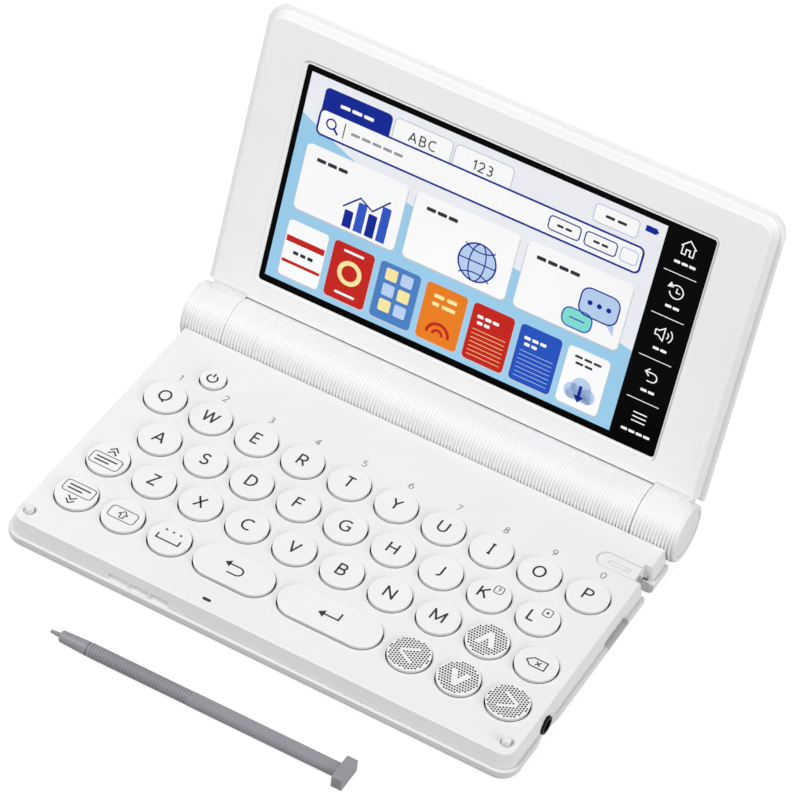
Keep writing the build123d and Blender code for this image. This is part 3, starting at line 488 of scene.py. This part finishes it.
for node, angle in (("key_right", 0), ("key_up", 90), ("key_left", 180), ("key_down", 270)):
    upright = angle in (0, 180)
    half, wing = (2.3, 1.8) if upright else (1.95, 1.6)
    spin = Matrix.Rotation(math.radians(angle), 2)
    line = [spin @ Vector(p) for p in ((-wing, half), (CHEVRON_TIP, 0), (-wing, -half))]
    dots = []
    for row in range(-8, 9):
        for at in range(-9, 10):
            step = at + (0.5 if row % 2 else 0)
            p = Vector((row * 0.736, step * 0.803) if upright else (step * 0.736, row * 0.81))
            near = min(off_line(p, a, b) for a, b in zip(line, line[1:]))
            if p.length < DOT_FIELD and near > DOT_CLEARANCE:
                dots.append(disc(p.x, p.y, DOT, 12))
    legend(node, dots, DOT_INK)

# Numbers on the deck behind the top row of keys
NUMBER_HEIGHT, NUMBER_STROKE = 2.35, 0.3
NUMBER_X, NUMBER_Y, NUMBER_STEP = -63.0, 17.5, 14.02

digits = []
for i, c in enumerate("1234567890"):
    digits += glyph(c, NUMBER_HEIGHT, NUMBER_X + i * NUMBER_STEP, NUMBER_Y, NUMBER_STROKE)
decal("deck_numbers", digits, on_deck(DECK_Z + 0.012), PALE_INK, "base")


# ---------------------------------------------------------------- label by the pen's slot

LABEL_Y = 23.0
LABEL_RIGHT, LABEL_TURN_X = 70.2, 61.2      # open end, and middle of the round end
LABEL_HALF = 2.62
LABEL_FLOOR = DECK_Z - 0.385                # just over the recess's floor
SIGN_TIP, SIGN_SHOULDER, SIGN_BAND, SIGN_END = 61.6, 62.9, 66.9, 68.0
SIGN_HALF = 0.62

outline = [(LABEL_RIGHT, LABEL_Y - LABEL_HALF)] + arc(LABEL_TURN_X, LABEL_Y, LABEL_HALF, LABEL_HALF, 270, 90)
outline += [(LABEL_RIGHT, LABEL_Y + LABEL_HALF)]
# A grey line along the recess's border: painted shade of its wall.
decal("label_outline", ribbon(outline, 0.2), on_deck(DECK_Z + 0.01), PAINTED_SHADE_GREY, "base")
# The pen sign on the recess's floor is grey: painted shade in place of a raised sign.
low, high = LABEL_Y - SIGN_HALF, LABEL_Y + SIGN_HALF
pen = [(SIGN_TIP, LABEL_Y), (SIGN_SHOULDER, high), (SIGN_END, high), (SIGN_END, low), (SIGN_SHOULDER, low)]
signs = ribbon(pen, 0.26, True) + ribbon([(SIGN_BAND, LABEL_Y + 0.5), (SIGN_BAND, LABEL_Y - 0.5)], 0.24)
decal("label_sign", signs, on_deck(LABEL_FLOOR), PAINTED_SHADE_GREY, "base")


# ---------------------------------------------------------------- ribs round the barrel

RIB_PITCH = 0.965
RIB = 0.42                  # height of a full rib
# Along one pitch: place, and share of the height. The first and last faces are the groove.
RIB_PROFILE = ((0.0, 0.03), (0.2, 0.03), (0.28, 0.8), (0.38, 1.0), (0.7, 1.0), (0.86, 0.75))
PROUD = 0.01                # of the CAD's own surface
ROW_STEP = 6                # degrees between rows
LOSS = 0.75                 # of the height, at the barrel's top and bottom
LOSS_FROM, LOSS_OVER = 0.3, 0.65    # sines between which it comes in
PLAIN, PAINTED_HALF_SHADE, PAINTED_FULL_SHADE = 0, 1, 2   # painted shade tones, in the order of a ring's materials
FULL_SHADE_UNTIL, HALF_SHADE_UNTIL = 0.24, 0.6  # sines up to which a groove has them: painted shade near the barrel's front and back
CREASE_FILLET = 1.2
# Painted shade over the hollow fillet where the lid's face meets the ring: grooves and ribs darkest next to the face,
# lighter further up
CREASE_SHADES = 4 * ((PAINTED_FULL_SHADE, PAINTED_FULL_SHADE),) + 3 * ((PAINTED_FULL_SHADE, PAINTED_HALF_SHADE),) + 2 * ((PAINTED_HALF_SHADE, PLAIN),)
CREASE_RAMP = 0.5           # radians over which the ribs rise from the lid's face
END_RIBS_FROM, END_RIBS_TO, END_FADE = 68.0, 359.0, 5
END_RINGS = (("left", -73.6, -61.47), ("right", 61.65, 73.6))
END_RIBS, CREASE_RIBS = 12, 10      # the outer ribs stand clear of the lid's side, so they have no crease


def row_steps(start, end):
    return max(6, round((end - start) / ROW_STEP))


def round_rows(start, end, fade=0.0):
    """Rows of a ring's surface over an arc round the hinge axis, in degrees from the back upwards.

    Each has its place, its direction outwards, the share of the ribs' height and the painted shade tones of groove
    and rib.
    """
    full = abs(end - start - 360) < TINY
    steps = row_steps(start, end)
    rows = []
    for i in range(steps if full else steps + 1):
        share = i / steps
        angle = math.radians(start + (end - start) * share)
        c, s = math.cos(angle), math.sin(angle)
        near = min(share, 1 - share) * (end - start)
        keep = 1.0 if full or not fade else min(1.0, near / fade)
        rise = max(0.0, min(1.0, (abs(s) - LOSS_FROM) / LOSS_OVER))
        keep *= 1 - LOSS * rise * rise * (3 - 2 * rise)
        # painted shade in the grooves: full near the front and back, half further round, none at the top and bottom
        tone = PAINTED_FULL_SHADE if abs(s) < FULL_SHADE_UNTIL else PAINTED_HALF_SHADE if abs(s) < HALF_SHADE_UNTIL else PLAIN
        rows.append((BARREL * c, BARREL * s, c, s, keep, tone, PLAIN))
    return rows, full


def crease_rows():
    """Rows from the lid's face over the hollow fillet and onto the top of the ring, with painted shade in the fillet.
    """
    w = FACE_W + CREASE_FILLET
    v = math.sqrt((BARREL + CREASE_FILLET) ** 2 - w ** 2)
    last = math.pi / 2 + math.atan2(-w, v)
    rows = []
    for i, tones in enumerate(CREASE_SHADES):
        turn = last * i / (len(CREASE_SHADES) - 1)
        out = UP_LID * math.sin(turn) + OUT_LID * math.cos(turn)
        place = UP_LID * v + OUT_LID * w - out * CREASE_FILLET
        rows.append((place.y, place.z, out.y, out.z, (1 - LOSS) * min(1.0, turn / CREASE_RAMP), *tones))
    # the last row is the end ribs' second one, beyond their fade
    arc_step = (END_RIBS_TO - END_RIBS_FROM) / row_steps(END_RIBS_FROM, END_RIBS_TO)
    angle = math.radians(END_RIBS_FROM + arc_step)
    c, s = math.cos(angle), math.sin(angle)
    return rows + [(BARREL * c, BARREL * s, c, s, 1 - LOSS, PAINTED_HALF_SHADE, PLAIN)], False


def ribs(name, x0, x1, rows, body):
    """Rings of ribs from x0 to x1 over a surface given by its rows."""
    rows, full = rows
    count = max(1, round((x1 - x0) / RIB_PITCH))
    along = [(x0 + (x1 - x0) * (k + at) / count, height) for k in range(count) for at, height in RIB_PROFILE]
    along.append((x1, RIB_PROFILE[0][1]))
    verts, faces, tones = [], [], []
    for y, z, out_y, out_z, keep, _, _ in rows:
        for x, height in along:
            up = PROUD + RIB * height * keep
            verts.append((x * MM, (HINGE.y + y + up * out_y) * MM, (HINGE.z + z + up * out_z) * MM))
    n, m = len(along), len(rows)
    for i, (*_, groove, rib) in enumerate(rows if full else rows[:-1]):
        for k in range(n - 1):
            a, b = i * n + k, ((i + 1) % m) * n + k
            faces.append([a, a + 1, b + 1, b])
            # groove faces take the row's painted shade tone for grooves, the other faces the one for ribs
            tones.append(groove if k % len(RIB_PROFILE) in (0, len(RIB_PROFILE) - 1) else rib)
    rings = piece(name, verts, faces, RIBBED, body, True)
    rings.data.materials.append(RIB_HALF_SHADE)
    rings.data.materials.append(RIB_FULL_SHADE)
    rings.data.polygons.foreach_set("material_index", tones)


ribs("core_ribs_middle", -51.9, 51.9, round_rows(10.8, 219.2), "base")
ribs("core_ribs_left", -61.35, -51.95, round_rows(0, 360), "base")
ribs("core_ribs_right", 51.95, 61.35, round_rows(0, 360), "base")
ribs("cover_ribs", -51.8, 51.8, round_rows(-138.8, 8.8), "battery_cover")
for name, x0, x1 in END_RINGS:
    # the lid's face meets the ring in front, its back runs off the ring behind
    ribs("end_ribs_" + name, x0, x1, round_rows(END_RIBS_FROM, END_RIBS_TO, END_FADE), "lid")
    reach = (x1 - x0) * CREASE_RIBS / END_RIBS
    inner = (x0, x0 + reach) if x0 > 0 else (x1 - reach, x1)
    ribs("crease_ribs_" + name, *inner, crease_rows(), "lid")


# ---------------------------------------------------------------- darker rings round the pen's grip: painted shade in its grooves

PEN_LENGTH, NIB_LENGTH, COLLAR_LENGTH = 82.6, 2.9, 8.4
GRIP_LENGTH, GRIP_RADIUS, GRIP_RINGS = 29.0, 1.96, 36
HEAD_THICKNESS = 4.3
TABLE_Z = -0.6
PEN_AT = Vector((37.3, -70.6, HEAD_THICKNESS / 2 + TABLE_Z))
PEN_TURN = math.radians(0.5)
PEN_CORNERS = 32
GROOVE_FROM, GROOVE_TO = 0.86, 1.16         # of a ring's pitch
GROOVE_IN = (0.06, 0.05)                    # below the grip, at both ends of a groove
NECK_FROM, NECK_TO, NECK_IN = -0.46, -0.04, 0.3


def pen_bands(name, bands, mat):
    """Short sleeves round the pen, each given by its ends from the head and its radii there."""
    lean = math.asin((HEAD_THICKNESS / 2 - GRIP_RADIUS) / (PEN_LENGTH - NIB_LENGTH))
    turn = Matrix.Rotation(PEN_TURN, 3, "Z") @ Matrix.Rotation(-lean, 3, "Y")
    verts, faces = [], []
    for x0, r0, x1, r1 in bands:
        first = len(verts)
        for x, r in ((x0, r0), (x1, r1)):
            for u, v in disc(0, 0, r, PEN_CORNERS):
                verts.append((turn @ Vector((x, u, v)) + PEN_AT) * MM)
        faces += between(first + PEN_CORNERS, first, PEN_CORNERS)
    piece(name, verts, faces, mat, "stylus", True)


grip = -PEN_LENGTH + NIB_LENGTH + COLLAR_LENGTH
pitch = GRIP_LENGTH / GRIP_RINGS
pen_bands("stylus_rings", [(grip + pitch * (i + GROOVE_FROM), GRIP_RADIUS - GROOVE_IN[0],
                            grip + pitch * (i + GROOVE_TO), GRIP_RADIUS - GROOVE_IN[1])
                           for i in range(GRIP_RINGS - 1)], PEN_SHADE)
pen_bands("stylus_neck", [(grip + NECK_FROM, GRIP_RADIUS - NECK_IN, grip + NECK_TO, GRIP_RADIUS - NECK_IN)], PEN)


# ---------------------------------------------------------------- barrel caps with a soft edge and a ring groove

CAP_DEPTH = 2.1
CAP_EDGE = 0.45             # rounding of the rim
# From the rim to the middle: how far below the rim, and radius. The steps are the ring groove.
CAP_FACE = ((0.0, 6.75), (0.06, 6.68), (0.3, 6.66), (0.3, 6.46), (0.12, 6.44), (0.08, 6.3), (0.2, 3.0))
CAP_DISH = 0.24             # and at the middle


def barrel_cap(side):
    """Round cap at one end of the barrel, turned from a profile."""
    lo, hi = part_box("hinge_caps")
    outer, radius = hi.x / MM, (hi.z - lo.z) / 2 / MM
    rings = [(outer - CAP_DEPTH, radius)]
    for degrees in range(0, 91, RIM_STEP):
        a = math.radians(degrees)
        rings.append((outer - CAP_EDGE + CAP_EDGE * math.sin(a), radius - CAP_EDGE + CAP_EDGE * math.cos(a)))
    rings += [(outer - down, r) for down, r in CAP_FACE]
    ends = [(side * x * MM, HINGE.y * MM, HINGE.z * MM) for x in (outer - CAP_DEPTH, outer - CAP_DISH)]
    verts = [ends[0]]
    for x, r in rings:
        verts += [(side * x * MM, (HINGE.y + u) * MM, (HINGE.z + v) * MM) for u, v in disc(0, 0, r, ROUND)]
    verts.append(ends[1])
    last = len(verts) - 1
    face = last - ROUND
    faces = [[0, 1 + (i + 1) % ROUND, 1 + i] for i in range(ROUND)]
    for k in range(len(rings) - 1):
        faces += between(1 + k * ROUND, 1 + (k + 1) * ROUND, ROUND)
    faces += [[face + i, face + (i + 1) % ROUND, last] for i in range(ROUND)]
    if side < 0:
        faces = [f[::-1] for f in faces]
    cap = piece("barrel_cap_" + ("left" if side < 0 else "right"), verts, faces, CAP, "lid", True)
    cap.data.shade_smooth()
    cap.data.set_sharp_from_angle(angle=math.radians(40))
    return cap


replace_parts(barrel_cap(-1), "hinge_caps")
barrel_cap(1)


# ---------------------------------------------------------------- black margin, bead and grey step of painted shade round the window

# On the sides left, right, bottom, top
WINDOW = (-59.2, 59.2, 15.4, 79.5)      # the opening in the bezel
MARGIN = (0.33, -0.1, 0.48, 0.0)        # how far the black margin covers the bevel
STEP = (0.85, 0.4, 0.8, 0.65)           # width of the grey step, painted shade on the bevel
BEVEL_WIDTH = 1.4
MARGIN_RISE = (FACE_W - GLASS_W) * 0.5 / BEVEL_WIDTH + 0.03     # up the bevel, and clear of it
BEAD_HEIGHT = 0.12


def on_margin(more, step=0):
    """Offsets from the opening's edge: the black margin, with some of the step and some more on every side."""
    return tuple(m + more + step * s for m, s in zip(MARGIN, STEP))


def window_band(name, loops, mat):
    """Faces between rounded frames, each given by its offsets, its corner radius and its height over the glass."""
    outlines = []
    for offsets, radius, up in loops:
        left, right, low, high = (w + sign * o for w, sign, o in zip(WINDOW, (-1, 1, -1, 1), offsets))
        outlines.append([(u, v, GLASS_W + up) for u, v in rounded(left, low, right, high, radius)])
    verts, faces, n = [], [], len(outlines[0])
    for outline in outlines:
        verts += [on_lid(0) @ Vector(p) for p in outline]
    for k in range(len(outlines) - 1):
        faces += between(k * n, (k + 1) * n, n)
    piece(name, verts, faces, mat, "lid")


window_band("window_margin", (
    ((-0.6,) * 4, 0.6, 0.01),
    ((-0.12,) * 4, 0.7, 0.012),
    (on_margin(0.02), 1.0, MARGIN_RISE)), GLASS)
window_band("window_bead", (
    (on_margin(0), 1.0, 0.02),
    (on_margin(0.03), 1.0, MARGIN_RISE + BEAD_HEIGHT),
    (on_margin(0.24), 1.2, MARGIN_RISE + BEAD_HEIGHT),
    (on_margin(0.3), 1.2, MARGIN_RISE - 0.06)), LID)
# the step is coloured grey as painted shade of the bevel, widest at the left
window_band("window_step", (
    (on_margin(0.28), 1.2, MARGIN_RISE - 0.05),
    (on_margin(0.3, 1), 1.8, 0.56),
    (on_margin(0.36, 1), 1.8, 0.55)), PAINTED_SHADE_GREY)
window_band("window_edge", (
    (on_margin(0.34, 1), 1.8, 0.53),
    (on_margin(0.4, 1), 1.9, 0.575),
    ((1.75,) * 4, 2.2, 0.552)), LID)


# ---------------------------------------------------------------- what the screen shows

def lit(name, *rgb):
    """Colour on the lit display."""
    return material(name, srgb(*rgb), rough=0.3, spread=0.012, bump=0.0, rough_spread=0.02, specular=0.03,
                    glow=0.05, cloud=30)


PAGE = lit("page_grey", 238, 240, 246)
SKY = lit("page_blue", 156, 206, 236)
PAPER = lit("paper_white", 252, 252, 253)
EDGE = lit("edge_grey", 190, 200, 212)
NAVY = lit("navy", 24, 44, 150)
BLUE = lit("mid_blue", 52, 88, 196)
PALE = lit("pale_blue", 186, 208, 240)
MINT = lit("mint", 130, 222, 210)
TEXT = lit("text_grey", 52, 54, 60)
SOFT = lit("soft_text", 150, 152, 158)
RED = lit("card_red", 196, 40, 34)
ORANGE = lit("card_orange", 232, 126, 36)
CREAM = lit("card_cream", 246, 230, 160)
DEEP = lit("card_blue", 40, 84, 190)
STEELY = lit("card_steel", 76, 128, 196)

LAYER = {}
LAYER_LOWEST, LAYER_STEP = 0.012, 0.008     # over the glass


def show(mat, *polygons, layer=0):
    """Shapes of one colour on one layer of the screen, in (u, v)."""
    LAYER.setdefault((layer, mat.name), []).extend(polygons)


U0, U1, V0, V1 = -57.9, 45.7, 17.1, 77.9
WAVE_STEPS = 24
show(PAGE, [(U0, V0), (U1, V0), (U1, V1), (U0, V1)])
wave = [(U0, V0), (U1, V0), (U1, 41.0)]
for i in range(1, WAVE_STEPS + 1):
    share = i / WAVE_STEPS
    wave.append((U1 - (U1 - U0) * share, 41.0 + 25.0 * share ** 1.3 + 2.2 * math.sin(2 * math.pi * share)))
show(SKY, wave, layer=1)

# Search bar with its tabs
TOP_ROUND = (0, 0, 1, 1)
for i, (u, w) in enumerate(((-53.0, 20.0), (-32.2, 17.0), (-14.4, 17.0))):
    tab = rounded(u, 68.5, u + w, 75.5, 1.4, TOP_ROUND)
    show(NAVY if i == 0 else PAPER, tab, layer=3)
    if i:
        show(EDGE, *ribbon(tab, 0.25, True), layer=4)
show(PAPER, *bars(-43.0, 71.9, (2.9,) * 3, 0.95, 0.6), layer=5)
show(TEXT, *word("ABC", 3.0, -23.7, 71.9, 0.36), *word("123", 3.0, -5.9, 71.9, 0.36), layer=5)
bar = rounded(-53.0, 62.0, 41.5, 69.3, 1.5)
show(PAPER, bar, layer=6)
show(NAVY, *ribbon(bar, 0.55, True), layer=7)
show(NAVY, *ribbon(arc(-49.3, 66.0, 1.35, 1.35, 0, 360), 0.45, True),
     *ribbon([(-48.3, 65.0), (-47.0, 63.7)], 0.6), layer=7)
show(TEXT, *ribbon([(-45.4, 63.5), (-45.4, 67.9)], 0.3), layer=7)
show(SOFT, *bars(-35.6, 65.7, (2.6,) * 5, 0.8, 0.6), layer=7)
for u in (15.0, 25.4):
    show(NAVY, *ribbon(rounded(u, 63.7, u + 9.0, 67.6, 1.0), 0.35, True), layer=7)
    show(TEXT, *bars(u + 4.5, 65.6, (1.8, 1.8), 0.7, 0.6), layer=7)
show(PALE, *ribbon(rounded(35.6, 63.7, 40.4, 67.6, 1.0), 0.35, True), layer=7)
button = rounded(26.0, 71.0, 38.5, 76.0, 1.1)
show(PAPER, button, layer=3)
show(EDGE, *ribbon(button, 0.25, True), layer=4)
show(TEXT, *bars(32.2, 73.5, (2.6, 2.6), 0.8, 0.8), layer=5)
show(NAVY, rounded(40.2, 74.2, 43.4, 75.9, 0.3), rounded(43.4, 74.7, 43.8, 75.4, 0.1), layer=5)

# Three wide tiles: a chart, a globe and two speech bubbles
TILES_U, TILE_STEP = -54.5, 32.9
for i, (dashes, right) in enumerate(((3, 0), (3, 0), (4, 1.1))):
    u = TILES_U + i * TILE_STEP
    show(EDGE, rounded(u - 0.2, 38.6, u + 30.6, 58.4, 1.6), layer=2)
    show(PAPER, rounded(u, 39.1, u + 30.4, 58.6, 1.5), layer=3)
    show(TEXT, *bars(u + 8.2 + right, 54.9, (2.7,) * dashes, 1.05, 0.55), layer=4)
u = -40.0
for k, h in enumerate((5.0, 8.5, 6.6, 10.2)):
    left = u + 3.4 * k
    show(BLUE if k % 2 else NAVY, rounded(left, 39.9, left + 2.6, 39.9 + h, 0.4, TOP_ROUND), layer=4)
show(NAVY, *ribbon([(u - 0.8, 45.4), (u + 3.6, 49.6), (u + 7.6, 47.4), (u + 12.0, 52.0)], 0.45), layer=5)
u, v = -0.9, 46.2
show(PALE, disc(u, v, 5.4, 40), layer=4)
show(NAVY, *ribbon(arc(u, v, 5.4, 5.4, 0, 360), 0.45, True), *ribbon(arc(u, v, 2.3, 5.4, 0, 360), 0.35, True),
     *ribbon([(u - 5.4, v), (u + 5.4, v)], 0.35), *ribbon(arc(u, v + 6.4, 5.4, 3.4, 215, 325), 0.35),
     *ribbon(arc(u, v - 6.4, 5.4, 3.4, 35, 145), 0.35), layer=5)
u = 24.0
near, far = rounded(u + 1.0, 40.2, u + 9.4, 45.6, 2.2), rounded(u + 4.6, 45.0, u + 15.6, 53.0, 2.6)
show(MINT, near, layer=4)
show(PALE, far, [(u + 12.5, 45.4), (u + 15.2, 45.4), (u + 15.6, 42.6)], layer=4)
show(NAVY, *ribbon(far, 0.4, True), layer=5)
show(NAVY, *[disc(u + 7.4 + 2.7 * k, 49.0, 0.7, 16) for k in range(3)], layer=5)
show(BLUE, *ribbon(near, 0.4, True), *ribbon([(u + 3.0, 42.9), (u + 7.4, 42.9)], 0.4), layer=5)

# Seven covers in a row
COVER_STEP, COVER_WIDTH = 13.95, 12.1
for i, mat in enumerate((PAPER, RED, STEELY, ORANGE, RED, DEEP, PAPER)):
    u = TILES_U + i * COVER_STEP
    m = u + COVER_WIDTH / 2
    show(EDGE, rounded(u - 0.2, 18.5, u + COVER_WIDTH + 0.2, 35.6, 1.3), layer=2)
    show(mat, rounded(u, 19.0, u + COVER_WIDTH, 35.6, 1.2), layer=3)
    if i == 0:
        for low, high in ((29.2, 31.0), (23.0, 23.9)):
            show(RED, [(u + 0.3, low), (u + 11.8, low), (u + 11.8, high), (u + 0.3, high)], layer=4)
        show(TEXT, *bars(m, 26.6, (1.6,) * 3, 1.0, 0.6), layer=4)
    elif i == 1:
        show(CREAM, disc(m, 27.6, 3.6, 32), layer=4)
        show(RED, disc(m, 27.6, 2.3, 32), layer=5)
        show(PAPER, *bars(m, 21.2, (6.0,), 0.7, 0), *bars(m, 33.6, (6.0,), 0.7, 0), layer=4)
    elif i == 2:
        for b, pair in ((21.5, (CREAM, PALE)), (26.1, (PALE, CREAM)), (30.7, (CREAM, PALE))):
            for a, colour in zip((2.0, 6.6), pair):
                show(colour, rounded(u + a, b, u + a + 3.5, b + 3.5, 0.5), layer=4)
    elif i == 3:
        show(CREAM, *bars(m, 32.4, (3.0, 3.0), 1.1, 0.8), *bars(m, 30.0, (2.0, 4.0), 1.1, 0.8), layer=4)
        show(RED, *ribbon(arc(m, 21.6, 3.2, 3.2, 0, 180), 0.9), *ribbon(arc(m, 21.6, 1.4, 1.4, 0, 180), 0.8), layer=4)
    elif i in (4, 5):
        for k in range(7):
            rule = 20.6 + 1.25 * k
            show(CREAM if i == 4 else PALE, *ribbon([(u + 1.2, rule), (u + 10.9, rule)], 0.14), layer=4)
        show(PAPER, *bars(m - 1.2, 32.0, (1.8,) * 3, 0.9, 0.5), *bars(m - 2.2, 30.2, (1.6,) * 2, 0.9, 0.5), layer=4)
    else:
        show(TEXT, *bars(m, 33.2, (2.2,) * 3, 0.7, 0.5), *bars(m - 0.8, 31.4, (2.2,) * 2, 0.7, 0.5), layer=4)
        show(PALE, disc(m - 2.2, 23.4, 2.3, 24), disc(m + 2.3, 23.3, 2.2, 24), disc(m + 0.1, 25.0, 2.9, 28),
             rounded(m - 3.6, 21.1, m + 3.6, 24.0, 1.2), layer=4)
        show(NAVY, *ribbon([(m, 25.6), (m, 21.9)], 0.9), [(m - 1.5, 22.6), (m, 20.6), (m + 1.5, 22.6)], layer=5)

# White signs on the black strip at the right, each drawn about the middle of its cell
STRIP_U = 52.2
CELL_V = [73.5 - 12.55 * k for k in range(5)]
SIGN_SIZE, SIGN_RIGHT, SIGN_UP = 0.78, 0.3, 0.75
STROKE = 0.42

home = ribbon([(-2.7, 0.4), (0, 2.9), (2.7, 0.4)], STROKE)
home += ribbon([(-2.1, 0.6), (-2.1, -2.4), (-0.7, -2.4), (-0.7, -0.4), (0.7, -0.4), (0.7, -2.4),
                (2.1, -2.4), (2.1, 0.6)], STROKE)
history = ribbon(arc(0.1, 0, 2.4, 2.4, 150, -170), STROKE) + ribbon([(0.1, 1.4), (0.1, -0.2), (1.5, -0.2)], 0.4)
history += [[(-3.4, 0.9), (-1.1, 1.2), (-2.4, 3.0)]]
sound = ribbon([(-3.0, 0.9), (-1.7, 0.9), (0.1, 2.4), (0.1, -2.4), (-1.7, -0.9), (-3.0, -0.9)], STROKE, True)
sound += ribbon(arc(0.3, 0, 1.4, 1.4, -50, 50), 0.4) + ribbon(arc(0.3, 0, 2.8, 2.8, -50, 50), 0.4)
back = ribbon([(-2.2, 1.2)] + arc(0.5, -0.4, 1.6, 1.6, 90, -90) + [(-1.2, -2.0)], STROKE)
back += ribbon([(-0.9, 2.6), (-2.4, 1.2), (-0.9, -0.2)], STROKE)
menu = [q for k in (-1, 0, 1) for q in ribbon([(-2.5, 1.6 * k), (2.5, 1.6 * k)], STROKE)]
for v, shapes in zip(CELL_V, (home, history, sound, back, menu)):
    for p in shapes:
        show(PAPER, [(STRIP_U + SIGN_RIGHT + a * SIGN_SIZE, v + SIGN_UP + b * SIGN_SIZE) for a, b in p])
for v, n in zip(CELL_V, (3, 2, 2, 2, 4)):
    show(PAPER, *bars(STRIP_U + 0.4, v - 3.7, (1.75,) * n, 0.75, 0.4))
for v in CELL_V[:4]:
    show(PAPER, *ribbon([(STRIP_U - 4.6, v - 6.9), (STRIP_U + 4.6, v - 6.9)], 0.22))

for (layer, name), polygons in sorted(LAYER.items()):
    place = on_lid(GLASS_W + LAYER_LOWEST + LAYER_STEP * layer) @ Matrix.Translation((-0.12, -0.26, 0))
    decal("screen_%d_%s" % (layer, name), polygons, place, bpy.data.materials[name], "lid")


# ---------------------------------------------------------------- floor, light, camera

FLOOR_Z = -0.00063          # just under the feet
FLOOR_HALF = 3.0
FLOOR_GREY = 0.24           # in the lamps' light
FLOOR_GLOW = 0.86           # for the camera and in reflections
WORLD_LIGHT, WORLD_SEEN = 0.4, 1.0


def looked_at(tree, first, second):
    """1 for two kinds of rays and 0 for the others."""
    path = tree.nodes.new("ShaderNodeLightPath")
    most = tree.nodes.new("ShaderNodeMath")
    most.operation = "MAXIMUM"
    tree.links.new(path.outputs[first], most.inputs[0])
    tree.links.new(path.outputs[second], most.inputs[1])
    return most.outputs[0]


def floor():
    """Bright paper that takes shadows."""
    mesh = bpy.data.meshes.new("floor")
    corners = ((-1, -1), (1, -1), (1, 1), (-1, 1))
    mesh.from_pydata([(FLOOR_HALF * x, FLOOR_HALF * y, FLOOR_Z) for x, y in corners], [], [[0, 1, 2, 3]])
    mat = bpy.data.materials.new("floor_paper")
    mat.use_nodes = True
    nodes, links = mat.node_tree.nodes, mat.node_tree.links
    nodes.remove(nodes["Principled BSDF"])
    matt = nodes.new("ShaderNodeBsdfDiffuse")
    matt.inputs["Color"].default_value = (FLOOR_GREY, FLOOR_GREY, FLOOR_GREY, 1)
    glow = nodes.new("ShaderNodeEmission")
    glow.inputs["Color"].default_value = (1, 1, 1, 1)
    level = nodes.new("ShaderNodeMath")
    level.operation = "MULTIPLY"
    level.inputs[1].default_value = FLOOR_GLOW
    links.new(looked_at(mat.node_tree, "Is Camera Ray", "Is Glossy Ray"), level.inputs[0])
    links.new(level.outputs[0], glow.inputs["Strength"])
    both = nodes.new("ShaderNodeAddShader")
    links.new(matt.outputs[0], both.inputs[0])
    links.new(glow.outputs[0], both.inputs[1])
    links.new(both.outputs[0], nodes["Material Output"].inputs["Surface"])
    mesh.materials.append(mat)
    obj = bpy.data.objects.new("floor", mesh)
    scene.collection.objects.link(obj)


floor()

world = bpy.data.worlds.new("studio")
scene.world = world
world.use_nodes = True
nodes, links = world.node_tree.nodes, world.node_tree.links
background = nodes["Background"]
background.inputs["Color"].default_value = (1, 1, 1, 1)
level = nodes.new("ShaderNodeMapRange")
level.inputs["To Min"].default_value = WORLD_LIGHT
level.inputs["To Max"].default_value = WORLD_SEEN
links.new(looked_at(world.node_tree, "Is Camera Ray", "Is Transmission Ray"), level.inputs["Value"])
links.new(level.outputs["Result"], background.inputs["Strength"])


def lamp(name, place, aim, size, power):
    """Square lamp, in metres and watts."""
    light = bpy.data.lights.new(name, "AREA")
    light.size = size
    light.energy = power
    obj = bpy.data.objects.new(name, light)
    scene.collection.objects.link(obj)
    obj.location = place
    obj.rotation_euler = (Vector(aim) - Vector(place)).to_track_quat("-Z", "Y").to_euler()


lamp("key_light", (-0.5, -0.5, 1.04), (0, 0, 0.02), 0.5, 9.1)
lamp("fill_light", (0.95, -0.17, 0.42), (0, 0, 0.03), 0.6, 4.8)
lamp("back_light", (-0.25, 1.15, 0.4), (0, 0.05, 0.04), 0.7, 3.2)

# The camera as solved from the photograph: its place in metres and its own directions
CAMERA_AT = (0.301726, -0.634526, 0.733748)
CAMERA_RIGHT = Vector((0.866082, 0.492355, 0.086533))
CAMERA_DOWN = Vector((0.399508, -0.577651, -0.711838))
CAMERA_AHEAD = Vector((-0.300491, 0.651081, -0.696993))
SENSOR, FOCAL_LENGTH = 36, 177.7475
CLIP_START, CLIP_END = 0.05, 20

camera = bpy.data.objects.new("camera", bpy.data.cameras.new("camera"))
scene.collection.objects.link(camera)
camera.data.sensor_width = SENSOR
camera.data.lens = FOCAL_LENGTH
camera.data.clip_start = CLIP_START
camera.data.clip_end = CLIP_END
turn = Matrix((CAMERA_RIGHT, -CAMERA_DOWN, -CAMERA_AHEAD)).transposed().to_4x4()
camera.matrix_world = Matrix.Translation(CAMERA_AT) @ turn
scene.camera = camera

scene.view_settings.view_transform = "Standard"
